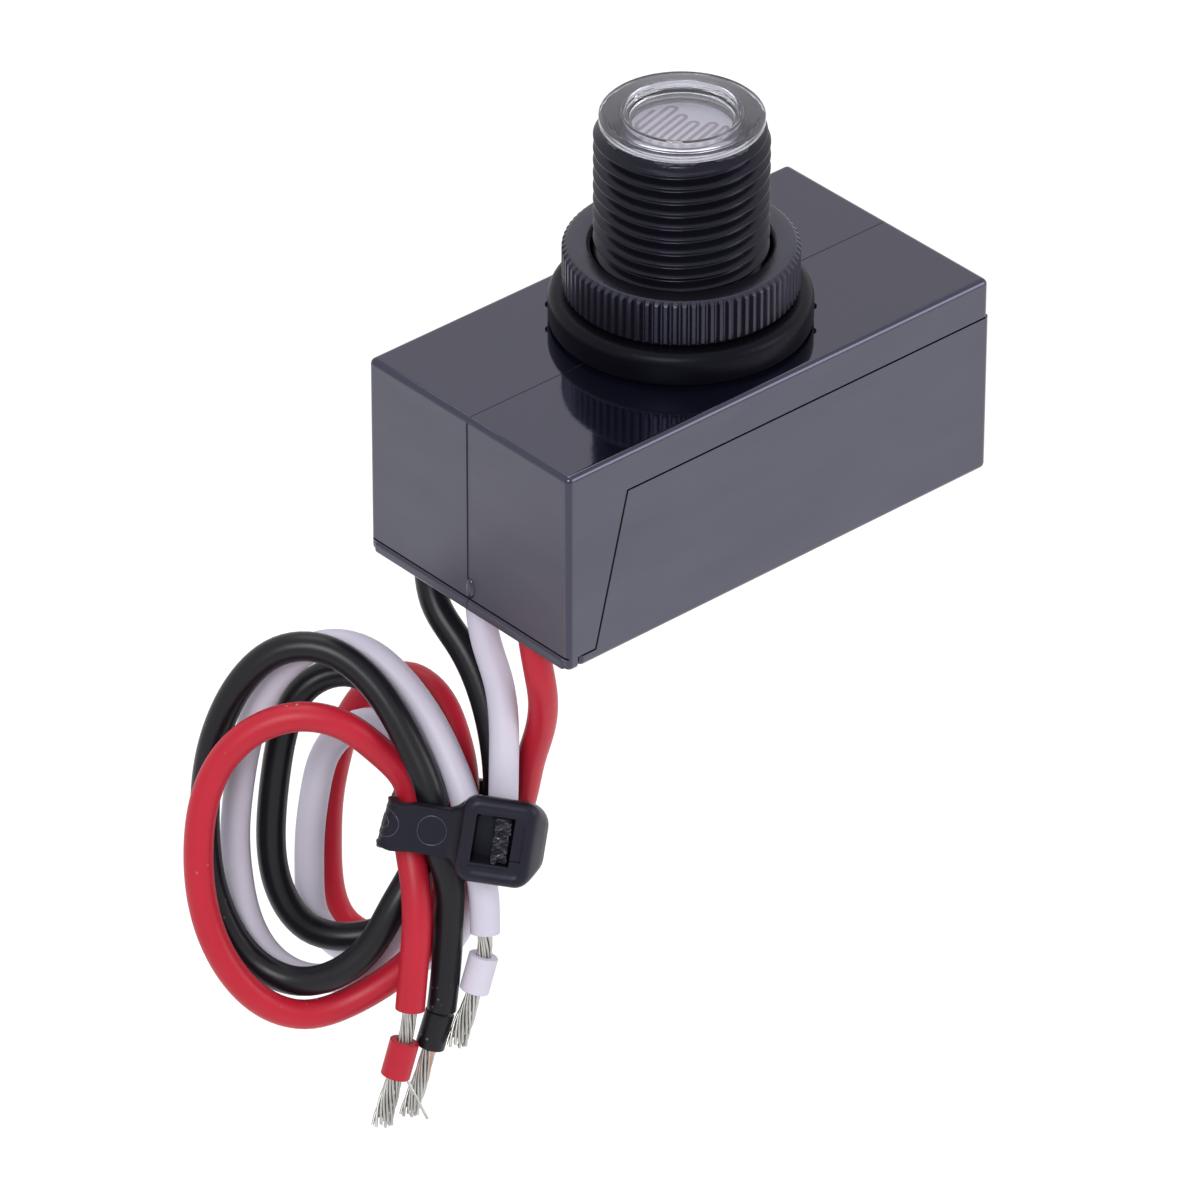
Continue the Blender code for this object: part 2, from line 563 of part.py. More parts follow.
def make_gasket(material):
    outer, inner = RING_BORE_RADIUS + GASKET_WALL, RING_BORE_RADIUS
    shoulder = arc(
        (outer - GASKET_SHOULDER, GASKET_TOP - GASKET_SHOULDER), GASKET_SHOULDER, 90.0, 0.0, 5
    )
    foot = 0.3 * MM
    profile = [(inner, GASKET_TOP)] + shoulder
    profile += [(outer, SEAT_GAP + foot), (outer - foot, SEAT_GAP), (inner, SEAT_GAP)]
    finish(turned("sealing_gasket", profile, closed=True), material, smooth=50.0)


def make_lock_nut(material):
    """Ribbed outline carried up, then trimmed by a turned ring with chamfered rims."""
    bore = RING_BORE_RADIUS
    outer = bore + NUT_WALL
    rim, mouth = outer - NUT_RIM_CHAMFER, bore + NUT_MOUTH_CHAMFER
    outline = []
    for rib in range(NUT_RIBS):
        for share, radius in ((0.0, outer), (0.34, outer), (0.5, outer - RIB_DEPTH),
                              (0.84, outer - RIB_DEPTH)):
            angle = 2 * math.pi * (rib + share) / NUT_RIBS
            outline.append((radius * math.cos(angle), radius * math.sin(angle)))
    nut = prism("lock_nut", outline, NUT_BOTTOM, NUT_TOP)
    profile = [
        (mouth, NUT_TOP),
        (rim, NUT_TOP),
        (outer + SEAT_GAP, NUT_TOP - NUT_RIM_CHAMFER),
        (outer + SEAT_GAP, NUT_BOTTOM + NUT_RIM_CHAMFER / 2),
        (rim, NUT_BOTTOM),
        (bore, NUT_BOTTOM),
        (bore, NUT_TOP - NUT_MOUTH_CHAMFER),
    ]
    combine(nut, turned("nut_blank", profile, closed=True, cutter=True), "INTERSECT")
    finish(nut, material, smooth=30.0)


def make_lens_cap(material):
    flange_top = CAP_UNDERSIDE + CAP_EDGE
    shoulder_top = flange_top + CAP_SHOULDER_RISE
    rim_top = flange_top + WELL_RIM_RISE
    floor_top = rim_top - WELL_DEPTH
    outer = STEM_ROOT_RADIUS + CAP_OVERHANG
    shoulder = outer - CAP_SHOULDER_INSET
    well_rim = shoulder - CAP_TOP_WIDTH
    plug = STEM_BORE_RADIUS - SEAT_GAP
    plug_end = CAP_UNDERSIDE - PLUG_LENGTH
    profile = [
        (0.0, floor_top),
        (well_rim - WELL_SLOPE, floor_top),
        (well_rim, rim_top - 0.1 * MM),
        (well_rim + 0.15 * MM, rim_top),
        (shoulder, shoulder_top),
        (outer - 0.1 * MM, flange_top),
        (outer, flange_top - 0.1 * MM),
        (outer, CAP_UNDERSIDE),
        (plug, CAP_UNDERSIDE),
        (plug, plug_end),
        (plug - PLUG_WALL, plug_end),
        (plug - PLUG_WALL, floor_top - WELL_FLOOR),
        (0.0, floor_top - WELL_FLOOR),
    ]
    finish(turned("lens_cap", profile), material, smooth=25.0)
    return floor_top - WELL_FLOOR - SEAT_GAP


def make_photocell(top, material, lead_material):
    edge = 0.2 * MM
    bottom = top - CELL_THICKNESS
    profile = [
        (0.0, top),
        (CELL_RADIUS - edge, top),
        (CELL_RADIUS, top - edge),
        (CELL_RADIUS, bottom + edge),
        (CELL_RADIUS - edge, bottom),
        (0.0, bottom),
    ]
    finish(turned("photocell_disc", profile), material, smooth=50.0)
    for side, x in (("left", -CELL_LEAD_SPACING / 2), ("right", CELL_LEAD_SPACING / 2)):
        lead = cylinder(
            f"cell_lead_{side}", CELL_LEAD_DIAMETER / 2, BOARD_TOP + SEAT_GAP, bottom - SEAT_GAP,
            (x, 0.0), steps=12,
        )
        finish(lead, lead_material, smooth=40.0)


def make_board(material):
    inset = LIP_INSIDE + SEAT_GAP
    low = (LEFT + inset, -BACK + inset, BOARD_UNDERSIDE)
    high = (RIGHT - inset, BACK - inset, BOARD_TOP)
    finish(box("circuit_board", low, high), material)


def hanging_box(name, low, high, floor_clearance, material, rounding):
    """A block on the underside of the board, down to a clearance above the floor."""
    obj = box(name, (*low, FLOOR_TOP + floor_clearance), (*high, COMPONENT_TOP))
    round_edges(obj, rounding)
    finish(obj, material, smooth=50.0)


def axial_part(name, place, axis, diameter, length, material):
    """A lying turned body with a waist, as a resistor or a diode has."""
    radius = diameter / 2
    edge = 0.12 * diameter
    waist = 0.86 * radius
    half = length / 2
    profile = [
        (0.0, half),
        (radius - edge, half),
        (radius, half - edge),
        (radius, 0.62 * half),
        (waist, 0.48 * half),
        (waist, -0.48 * half),
        (radius, -0.62 * half),
        (radius, edge - half),
        (radius - edge, -half),
        (0.0, -half),
    ]
    obj = turned(name, profile, steps=24)
    obj.location = (place[0], place[1], COMPONENT_TOP - radius)
    quarter = math.radians(90.0)
    obj.rotation_euler = (0.0, quarter, 0.0) if axis == "X" else (quarter, 0.0, 0.0)
    finish(obj, material, smooth=40.0)


def make_smoothing_capacitor(material):
    radius = SMOOTHING_DIAMETER / 2
    edge = 0.4 * MM
    bottom = FLOOR_TOP + SMOOTHING_FLOOR_CLEARANCE
    crimp = COMPONENT_TOP - 1.8 * MM
    profile = [
        (0.0, COMPONENT_TOP),
        (radius - edge, COMPONENT_TOP),
        (radius, COMPONENT_TOP - edge),
        (radius, crimp + edge),
        (radius - edge, crimp),
        (radius, crimp - edge),
        (radius, bottom + edge),
        (radius - edge, bottom),
        (0.0, bottom),
    ]
    obj = turned("smoothing_capacitor", profile, steps=32)
    obj.location.x = LOAD_RESISTOR_X - LOAD_RESISTOR_DIAMETER / 2 - PART_GAP - radius
    obj.location.y = SMOOTHING_WALL_CLEARANCE + radius - INNER_SIDE
    finish(obj, material, smooth=50.0)


def make_varistor(material):
    radius = VARISTOR_DIAMETER / 2
    edge = 0.7 * MM
    half = VARISTOR_THICKNESS / 2
    profile = [
        (0.0, half),
        (radius - edge, half),
        (radius, half - edge),
        (radius, edge - half),
        (radius - edge, -half),
        (0.0, -half),
    ]
    obj = turned("surge_varistor", profile, steps=32)
    obj.location = (
        VARISTOR_RIGHT - half, INNER_SIDE - VARISTOR_WALL_CLEARANCE - radius, COMPONENT_TOP - radius
    )
    obj.rotation_euler = (0.0, math.radians(90.0), 0.0)
    finish(obj, material, smooth=50.0)


def make_transistor(material):
    """Round-backed case with a flat front."""
    radius = TRANSISTOR_WIDTH / 2
    flat = math.degrees(math.asin((TRANSISTOR_DEPTH - radius) / radius))
    place = (RELAY_RIGHT - radius, LANE_MIDDLE + TRANSISTOR_DEPTH / 2 - radius)
    outline = arc(place, radius, -flat, 180.0 + flat, 16)
    obj = prism("driver_transistor", outline, COMPONENT_TOP - TRANSISTOR_HEIGHT, COMPONENT_TOP)
    finish(obj, material, smooth=40.0)


def make_terminals(material):
    """Solder lugs under the board, one above each lead's upper end."""
    radius = TERMINAL_DIAMETER / 2
    x = LEFT + LIP_INSIDE + SEAT_GAP + radius
    for color, y in LEAD_EXIT_Y.items():
        bottom = COMPONENT_TOP - TERMINAL_LENGTH
        profile = [
            (0.0, COMPONENT_TOP),
            (radius, COMPONENT_TOP),
            (radius, COMPONENT_TOP - 0.4 * MM),
            (0.75 * radius, COMPONENT_TOP - 0.4 * MM),
            (0.75 * radius, bottom),
            (0.0, bottom),
        ]
        terminal = turned(f"{color}_terminal", profile, steps=24)
        terminal.location = (x, y, 0.0)
        finish(terminal, material, smooth=40.0)


def make_leads(materials, strand_material):
    for color, route in LEAD_ROUTES.items():
        y = LEAD_EXIT_Y[color]
        inside = [
            Vector((LEAD_EXIT_X, y, LEAD_TOP)),
            Vector((LEAD_EXIT_X, y, (LEAD_TOP - HOUSING_HEIGHT) / 2)),
            Vector((LEAD_EXIT_X, y, -HOUSING_HEIGHT + 2.5 * MM)),
            Vector((LEAD_EXIT_X, y, -HOUSING_HEIGHT)),
        ]
        points = smooth_line(inside + loop_points(route), TUBE_STEP * LEAD_DIAMETER)
        lead = tube(f"{color}_lead", points, LEAD_DIAMETER)
        lead.data.materials.append(materials[color])

        strand_line = smooth_line(loop_points(STRAND_ROUTES[color]), STRANDS_DIAMETER)
        strands = tube(f"{color}_strands", strand_line, STRANDS_DIAMETER, STRANDS_FLARE)
        strands.data.materials.append(strand_material)

        top, bottom = loop_points(SLUG_ENDS[color])
        outer = LEAD_DIAMETER / 2
        inner = STRANDS_DIAMETER / 2 + SEAT_GAP
        half = SLUG_LENGTH / 2
        profile = [(inner, half), (outer, half), (outer, -half), (inner, -half)]
        slug = turned(f"{color}_slug", profile, closed=True, steps=24)
        slug.location = (top + bottom) / 2
        slug.rotation_euler = (top - bottom).to_track_quat("Z", "Y").to_euler()
        finish(slug, materials[color], smooth=40.0)


def make_cable_tie(material):
    """Strap around the leads with its head, slot and cut tail, as one moulding."""
    turn = Matrix.Rotation(TIE_TURN, 4, "Z")
    place = loop_matrix() @ Matrix.Translation((*TIE_PLACE, 0.0)) @ turn

    curve = bpy.data.curves.new("tie_line", "CURVE")
    curve.dimensions = "3D"
    curve.resolution_u = 5
    curve.extrude = TIE_WIDTH / 2
    spline = curve.splines.new("BEZIER")
    spline.bezier_points.add(len(TIE_INNER_LINE) - 1)
    spline.use_cyclic_u = True
    for knot, (x, out) in zip(spline.bezier_points, TIE_INNER_LINE):
        knot.co = (x * MM, -out * MM, 0.0)
        knot.handle_left_type = "AUTO"
        knot.handle_right_type = "AUTO"
    line = add_object("tie_line", curve, cutter=True)
    evaluated = line.evaluated_get(bpy.context.evaluated_depsgraph_get())
    mesh = bpy.data.meshes.new_from_object(evaluated)
    bpy.data.objects.remove(line)
    bm = bmesh.new()
    bm.from_mesh(mesh)
    bmesh.ops.remove_doubles(bm, verts=bm.verts, dist=0.00001)
    bmesh.ops.rotate(bm, matrix=Matrix.Rotation(math.radians(-90.0), 3, "X"), verts=bm.verts)
    bm.to_mesh(mesh)
    bm.free()
    tie = add_object("cable_tie", mesh)
    tie.matrix_world = place
    shell = tie.modifiers.new("thickness", "SOLIDIFY")
    shell.thickness = TIE_THICKNESS
    shell.offset = 1.0
    shell.use_even_offset = True

    head = box("tie_head", TIE_HEAD_LOW, TIE_HEAD_HIGH, cutter=True)
    round_edges(head, TIE_HEAD_RADIUS)
    slot = box("tie_slot", SLOT_LOW, SLOT_HIGH, cutter=True)
    tail = box("tie_tail", TAIL_LOW, TAIL_HIGH, cutter=True)
    mark_bottom = TIE_INNER_LINE[3][1] * MM + TIE_THICKNESS - TIE_MARK_DEPTH
    mark = cylinder(
        "tie_mark", TIE_MARK_DIAMETER / 2, mark_bottom, mark_bottom + CUT_MARGIN, TIE_MARK_PLACE,
        steps=32, cutter=True,
    )
    for piece in (head, slot, tail, mark):
        piece.matrix_world = place @ Matrix.Translation(piece.location)
    combine(tie, head, "UNION")
    combine(tie, slot, "DIFFERENCE")
    combine(tie, tail, "UNION")
    combine(tie, mark, "DIFFERENCE")
    finish(tie, material, smooth=35.0)


clear_scene()
PARTS = make_collection("photocell_switch")
CUTTERS = make_collection("photocell_switch_cutters")

black_shell = make_material("black_shell", (0.115, 0.115, 0.135), 0.38)
black_rubber = make_material("black_rubber", (0.022, 0.022, 0.028), 0.5)
clear_plastic = make_material("clear_plastic", (0.92, 0.92, 0.95), 0.08, transmission=0.9)
cell_ceramic = make_material("cell_ceramic", (0.62, 0.56, 0.62), 0.45)
tinned_wire = make_material("tinned_wire", (0.62, 0.6, 0.56), 0.35, metallic=0.9)
board_laminate = make_material("board_laminate", (0.55, 0.42, 0.2), 0.5)
relay_case = make_material("relay_case", (0.03, 0.07, 0.2), 0.45)
film_case = make_material("film_case", (0.5, 0.35, 0.05), 0.45)
can_sleeve = make_material("can_sleeve", (0.02, 0.03, 0.08), 0.4)
varistor_coat = make_material("varistor_coat", (0.03, 0.12, 0.35), 0.5)
diode_case = make_material("diode_case", (0.02, 0.02, 0.02), 0.4)
resistor_coat = make_material("resistor_coat", (0.55, 0.42, 0.28), 0.5)
brass = make_material("brass", (0.72, 0.55, 0.25), 0.35, metallic=1.0)
LEAD_MATERIALS = {
    "black": make_material("black_insulation", (0.022, 0.022, 0.027), 0.42),
    "white": make_material("white_insulation", (0.66, 0.6, 0.66), 0.42),
    "red": make_material("red_insulation", (0.56, 0.03, 0.05), 0.42),
}

make_housing_body(black_shell)
make_housing_cover(black_shell)
make_gasket(black_rubber)
make_lock_nut(black_shell)
cell_top = make_lens_cap(clear_plastic)
make_photocell(cell_top, cell_ceramic, tinned_wire)
make_board(board_laminate)
relay_side = INNER_SIDE - RELAY_SIDE_LANE
hanging_box(
    "switching_relay", (RELAY_LEFT, -relay_side), (RELAY_RIGHT, relay_side),
    RELAY_FLOOR_CLEARANCE, relay_case, 0.4 * MM,
)
dropper_back = INNER_SIDE - DROPPER_WALL_CLEARANCE
hanging_box(
    "dropper_capacitor", (VARISTOR_RIGHT + 2 * PART_GAP, dropper_back - DROPPER_WIDTH),
    (DROPPER_RIGHT, dropper_back), DROPPER_FLOOR_CLEARANCE, film_case, 0.6 * MM,
)
make_smoothing_capacitor(can_sleeve)
make_varistor(varistor_coat)
for part_name, (spot, along, across, long) in AXIAL_PARTS.items():
    coat = diode_case if "diode" in part_name else resistor_coat
    axial_part(part_name, spot, along, across, long, coat)
make_transistor(diode_case)
make_terminals(brass)
make_leads(LEAD_MATERIALS, tinned_wire)
make_cable_tie(black_rubber)
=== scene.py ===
"""Looks of the photocell switch: fine housing, thread, clear cap, light cell, leads and tie."""
import math

import bmesh
import bpy
import numpy as np
from mathutils import Euler, Matrix, Vector


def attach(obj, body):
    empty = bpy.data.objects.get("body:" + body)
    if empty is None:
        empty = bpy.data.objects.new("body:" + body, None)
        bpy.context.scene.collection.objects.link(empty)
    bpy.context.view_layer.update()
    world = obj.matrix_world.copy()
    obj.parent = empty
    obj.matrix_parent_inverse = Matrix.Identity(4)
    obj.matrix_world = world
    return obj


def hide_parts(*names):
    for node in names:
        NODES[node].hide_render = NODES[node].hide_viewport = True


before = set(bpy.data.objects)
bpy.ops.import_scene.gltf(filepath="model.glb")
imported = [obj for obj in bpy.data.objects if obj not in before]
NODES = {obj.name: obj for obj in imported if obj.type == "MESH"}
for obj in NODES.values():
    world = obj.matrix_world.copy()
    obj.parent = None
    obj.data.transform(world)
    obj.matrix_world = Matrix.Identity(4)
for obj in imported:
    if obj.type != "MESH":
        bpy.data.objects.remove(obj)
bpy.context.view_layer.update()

MM = 0.001

# Camera solved from the photo
CAMERA_PLACE = Vector((-581.77, -641.59, 540.87)) * MM
CAMERA_TURN = Euler([math.radians(a) for a in (56.3969, -0.0875, -41.6011)], "XYZ")
CAMERA_LENS = 300.234

# Lamps as name, place, size and power, the world's level, and the floor
LAMPS = [
    ("key", (-0.55, -0.35, 0.5), 0.35, 3.4),
    ("fill", (0.45, -0.6, 0.25), 0.4, 1.7),
    ("rim", (0.2, 0.25, 0.85), 0.6, 2.4),
]
LAMP_TARGET = Vector((-10.0, 0.0, -25.0)) * MM
AMBIENT_LEVEL = 0.42
FLOOR_HEIGHT, FLOOR_LIFT = -0.16, 0.35

# Housing sizes, as in the part's source
LEFT, RIGHT, BACK, HEIGHT = -28.85 * MM, 28.85 * MM, 15.35 * MM, 23.2 * MM
WALL, FLOOR = 1.5 * MM, 1.3 * MM
EDGE_RADIUS = 0.7 * MM
SEAM_DROP, SEAM_TOP_INSET, SEAM_FOOT_INSET = 4.65 * MM, 8.05 * MM, 3.8 * MM
SEAM_GAP = 0.22 * MM
COVER_PROUD = 0.25 * MM
FOOT_TOP, FOOT_RADIUS = -HEIGHT + 1.45 * MM, 0.45 * MM
FOOT_PROUD, FOOT_GROOVE = 0.2 * MM, 0.3 * MM
LIP_OUTSIDE, LIP_INSIDE, LIP_BOTTOM = 1.8 * MM, 2.6 * MM, -6.35 * MM
LIP_BLANK_LOW, LIP_HOLLOW_LOW = -8.0 * MM, -7.0 * MM
CUT_MARGIN = 2.0 * MM
SAME_PLACE = 0.002 * MM

# Marks of the mould: a line over the top and the left end, its flash, and the gate
LINE_HALF_WIDTH, LINE_DEPTH = 0.05 * MM, 0.07 * MM
FLASH_PROUD, FLASH_WIDTH = 0.11 * MM, 0.1 * MM
GATE_PLACE = (LEFT, -0.35 * MM, -20.3 * MM)
GATE_REACH = (0.38 * MM, 0.62 * MM, 1.2 * MM)

# Stem thread
CREST_RADIUS, ROOT_RADIUS, PITCH = 9.0 * MM, 8.08 * MM, 1.5 * MM
THREAD_PHASE, THREAD_RUNOUT = 1.0 * MM, 0.9 * MM
STEM_TOP, STEM_LOW, STEM_BORE_RADIUS = 23.1 * MM, 0.1 * MM, 6.8 * MM
THREAD_STEPS = 160

# Leads
LEAD_DIAMETER = 3.1 * MM
LEAD_EXIT_X = -25.6 * MM
LEAD_EXIT_Y = {"black": 10.0 * MM, "white": 2.0 * MM, "red": -6.0 * MM}
LEAD_TOP, LEAD_BEND_FROM = -7.7 * MM, -HEIGHT + 2.5 * MM
LEAD_STEP = 0.8 * MM
LEAD_NOTCH_RADIUS = 1.9 * MM
LOOP_MIDDLE = Vector((-32.0, -1.7, -48.7)) * MM
LOOP_TURN = math.radians(-42.2)
LOOP_LEAN = math.radians(16.0)
LEAD_ROUTES = {
    "black": [
        (-2.4, 23.6, -4.7), (0.1, 19.8, -3.2), (2.2, 15.8, -1.9), (3.5, 11.3, -0.8),
        (4.1, 6.7, -0.1), (3.7, 2.2, -1.3), (1.7, -1.3, -3.8), (-0.3, -5.3, -5.6),
        (-3.0, -8.9, -7.0), (-6.4, -12.2, -7.5), (-10.8, -13.8, -7.7), (-15.4, -13.0, -7.6),
        (-18.3, -9.3, -7.3), (-19.4, -4.7, -7.0), (-19.4, 0.0, -6.8), (-18.9, 4.8, -6.8),
        (-18.0, 9.5, -6.8), (-15.9, 13.6, -6.9), (-11.6, 15.3, -7.1), (-7.6, 13.2, -6.4),
        (-5.6, 9.2, -4.8), (-3.9, 5.5, -2.4), (-3.0, 1.1, -1.2), (-4.2, -3.4, -0.3),
        (-6.5, -7.4, 0.9), (-8.8, -11.5, 1.2), (-12.3, -14.7, 1.1), (-16.8, -16.0, 0.0),
        (-21.0, -14.3, -1.0), (-23.8, -10.5, -1.4), (-25.4, -6.0, -1.7), (-26.0, -1.3, -1.7),
        (-26.0, 3.4, -1.6), (-25.4, 8.2, -1.3), (-24.0, 12.7, -1.0), (-21.7, 16.8, -0.6),
        (-18.1, 19.8, -0.2), (-13.5, 20.1, 0.4), (-9.5, 17.7, 1.3), (-6.6, 14.1, 2.3),
        (-4.3, 9.9, 3.2), (-2.6, 5.5, 4.0), (-2.0, 0.8, 3.8), (-0.8, -3.8, 3.5),
        (-0.8, -8.5, 3.0), (-1.1, -13.3, 2.8), (-1.6, -18.0, 2.7),
    ],
    "white": [
        (2.8, 21.7, 0.6), (4.2, 17.2, 1.6), (4.8, 12.6, 2.8), (4.8, 7.9, 3.6),
        (4.6, 3.2, 3.2), (3.7, -0.9, 0.8), (2.6, -5.2, -1.1), (0.9, -9.2, -3.1),
        (-0.8, -13.1, -5.4), (-3.5, -16.0, -8.0), (-7.4, -17.1, -10.6), (-11.9, -16.5, -11.6),
        (-15.1, -13.0, -11.5), (-15.7, -8.3, -11.0), (-15.6, -3.5, -10.8), (-15.0, 1.3, -10.6),
        (-13.6, 5.9, -10.5), (-10.0, 8.8, -10.0), (-5.6, 8.0, -8.4), (-2.8, 4.6, -6.3),
        (-1.8, 0.5, -4.6), (-2.9, -4.0, -3.6), (-4.3, -8.6, -3.3), (-7.0, -12.6, -3.2),
        (-10.5, -15.8, -3.2), (-15.1, -17.0, -3.6), (-19.3, -15.1, -4.2), (-21.8, -11.0, -4.6),
        (-22.8, -6.4, -4.9), (-23.1, -1.6, -5.0), (-22.7, 3.2, -4.9), (-21.9, 8.0, -4.7),
        (-20.5, 12.5, -4.5), (-18.0, 16.6, -4.1), (-14.2, 19.3, -3.5), (-9.6, 19.0, -2.7),
        (-5.9, 16.3, -1.5), (-3.0, 12.7, -0.1), (-0.8, 8.8, 1.7), (0.9, 4.6, 3.4),
        (1.8, 0.0, 4.2), (2.7, -4.6, 3.4), (2.9, -9.4, 3.3),
    ],
    "red": [
        (8.3, 20.1, 5.6), (8.8, 15.8, 3.6), (8.4, 11.7, 1.1), (7.4, 7.6, -1.2),
        (6.6, 3.3, -3.1), (5.3, -0.8, -5.4), (3.3, -4.6, -7.5), (0.7, -8.2, -9.4),
        (-1.7, -11.7, -11.6), (-4.2, -15.1, -13.9), (-7.9, -17.1, -15.9), (-12.1, -15.5, -16.8),
        (-13.8, -11.0, -16.6), (-14.0, -6.3, -16.1), (-13.8, -1.5, -15.7), (-13.0, 3.2, -15.3),
        (-11.6, 7.8, -14.7), (-9.0, 11.6, -13.5), (-5.3, 13.5, -11.2), (-2.1, 12.2, -8.0),
        (-0.3, 9.2, -4.7), (0.6, 5.8, -1.4), (0.4, 1.5, 0.4), (-0.7, -3.2, 0.1),
        (-1.6, -7.9, -0.2), (-3.4, -12.2, -0.4), (-6.8, -15.6, -0.3), (-10.9, -18.1, 0.1),
        (-15.4, -19.2, 1.3), (-19.7, -17.6, 2.6), (-23.0, -14.2, 3.1), (-25.2, -9.9, 3.1),
        (-26.3, -5.2, 3.1), (-26.5, -0.4, 3.1), (-25.9, 4.4, 3.1), (-24.1, 8.8, 3.1),
        (-20.8, 12.2, 3.3), (-16.3, 13.8, 3.3), (-11.7, 12.8, 2.8), (-7.9, 9.5, 1.4),
        (-5.0, 5.7, 1.0), (-5.0, 1.3, 1.7), (-4.4, -3.2, 3.3), (-4.1, -7.9, 4.2),
        (-4.4, -12.7, 4.2), (-4.8, -17.5, 4.2),
    ],
}

# Stripped ends, in the loops' frame
STRAND_ROUTES = {
    "black": [(-1.6, -18.1, 2.7), (-2.8, -22.2, 2.7), (-3.9, -26.0, 2.7), (-5.0, -29.7, 2.7)],
    "white": [(2.9, -9.5, 3.3), (2.8, -11.8, 3.3), (1.7, -16.0, 3.3), (-0.1, -21.8, 3.3)],
    "red": [(-4.8, -17.6, 4.2), (-5.3, -20.9, 4.2), (-6.4, -24.8, 4.2), (-7.7, -30.3, 4.2)],
}
SLUG_ENDS = {
    "black": ((-1.72, -18.22, 2.7), (-2.82, -22.12, 2.7)),
    "white": ((2.8, -11.8, 3.3), (1.75, -15.8, 3.3)),
    "red": ((-5.35, -21.0, 4.2), (-6.35, -24.8, 4.2)),
}
SLUG_LENGTH, SLUG_EDGE, SLUG_CLEARANCE = 4.0 * MM, 0.08 * MM, 0.15 * MM
STRAND_DIAMETER, STRAND_STEP, STRAND_TWIST = 0.3 * MM, 0.4 * MM, 4.6
BUNDLE_RADIUS = 0.62 * MM
STRAND_LAYERS = [(1, 0.0), (6, 0.5), (12, 1.0)]
SPLAY = {"black": 0.35, "white": 0.6, "red": 0.55}
STRAYS = {"red": [[(-5.5, -24.2, 4.7), (-4.3, -26.6, 4.9), (-3.0, -29.2, 5.0)]]}
COPPER = {"black": (13,)}

# Thread section over one pitch, from crest to crest: share of the pitch and of the depth
THREAD_SECTION = [
    (0.0, 1.0), (0.03, 1.0), (0.055, 0.965), (0.15, 0.735), (0.3, 0.34), (0.4, 0.08),
    (0.44, 0.02), (0.5, 0.0), (0.56, 0.02), (0.6, 0.08), (0.7, 0.34), (0.85, 0.735),
    (0.945, 0.965), (0.97, 1.0),
]

# Gasket and ring nut
GASKET_RADIUS, GASKET_LOW, GASKET_TOP = 13.6 * MM, 0.3 * MM, 3.75 * MM
GASKET_SHOULDER = 1.15 * MM
RING_BORE_RADIUS = 9.3 * MM
NUT_RADIUS, NUT_LOW, NUT_TOP = 12.175 * MM, 4.05 * MM, 9.2 * MM
NUT_RIBS, RIB_DEPTH, RIB_STEPS = 80, 0.42 * MM, 12
NUT_RIM = [(0.03, 0.52), (0.08, 0.44), (0.36, 0.16), (0.46, 0.05), (0.56, 0.01), (0.66, 0.0)]

# Clear cap: its section as radius and height in millimetres, from the well over the rim and down
CAP_SECTION = [
    (0.0, 23.55), (5.1, 23.55), (5.25, 23.59), (5.38, 23.7), (5.46, 23.92), (5.6, 23.98),
    (5.66, 24.2), (5.8, 24.26), (5.86, 24.5), (5.93, 24.62), (6.0, 24.65), (6.1, 24.62),
    (6.22, 24.46), (6.32, 24.42), (7.66, 24.41), (7.74, 24.37), (7.78, 24.24), (7.84, 24.2),
    (8.37, 24.2), (8.4, 24.17), (8.43, 24.14), (8.43, 23.46), (8.37, 23.4), (6.5, 23.4),
    (6.5, 21.95), (6.45, 21.9), (5.85, 21.9), (5.8, 21.95), (5.8, 22.95), (0.0, 22.95),
]
CAP_UNDERSIDE = 23.4 * MM
# Radii where the cap's clear tint turns to the rim's grey, which is painted shade
RIM_SHADE_FROM, RIM_SHADE_TO = 5.4 * MM, 6.0 * MM

# Light cell and its track
CELL_RADIUS, CELL_TOP, CELL_LOW = 5.5 * MM, 22.2 * MM, 20.65 * MM
TRACK_TURN = math.radians(16.6)
TRACK_WIDTH = 0.44 * MM
TRACK_LEGS = [4.4, 3.5, 2.5, 1.6, 0.7, -0.2, -1.1, -2.0, -2.9, -3.75, -4.5]
TRACK_TOPS = [3.3, 2.3, 1.7, 2.5, 3.4]

# Nylon tie, in the loops' frame
TIE = (
    Matrix.Translation((0.6 * MM, 2.3 * MM, 0.0)) @ Matrix.Rotation(math.radians(-8.6), 4, "Z")
)
TIE_INNER_LINE = [
    (5.9, -1.6), (6.2, 2.2), (4.1, 5.4), (2.2, 4.95), (-0.2, 5.9), (-4.3, 5.8), (-6.5, 5.45),
    (-7.05, 4.7), (-6.95, 2.6), (-6.7, 0.2), (-6.3, -3.4), (-5.4, -7.2), (-3.6, -8.9),
    (-0.2, -8.6), (4.6, -7.4), (5.8, -5.2),
]
TIE_SECTION = [
    (0.15, -2.6), (0.0, -2.45), (0.0, 2.45), (0.15, 2.6), (0.92, 2.6), (1.1, 2.5), (1.1, 2.25),
    (1.0, 2.12), (1.0, -2.12), (1.1, -2.25), (1.1, -2.5), (0.92, -2.6),
]
HEAD_LOW, HEAD_HIGH, HEAD_CORNER = (-0.35, -4.2), (7.5, 5.25), 1.6
HEAD_ROWS = [
    (0.5, 6.0, 1.1), (0.12, 6.12, 1.15), (0.0, 6.5, 1.1), (0.0, 7.4, 0.7), (0.0, 8.2, 0.25),
    (0.03, 8.5, 0.1), (0.13, 8.8, 0.0), (0.32, 9.08, 0.0), (0.58, 9.27, 0.0), (0.85, 9.36, 0.0),
    (1.05, 9.36, 0.0), (1.22, 9.31, 0.0), (1.38, 9.23, 0.0), (1.55, 9.18, 0.0),
]
HEAD_BACK_ROWS = [(0.3, 3.6, 0.9), (0.05, 3.75, 1.1), (0.0, 5.0, 1.15), (0.0, 6.3, 1.1)]
HEAD_BACK_LEFT = 4.6
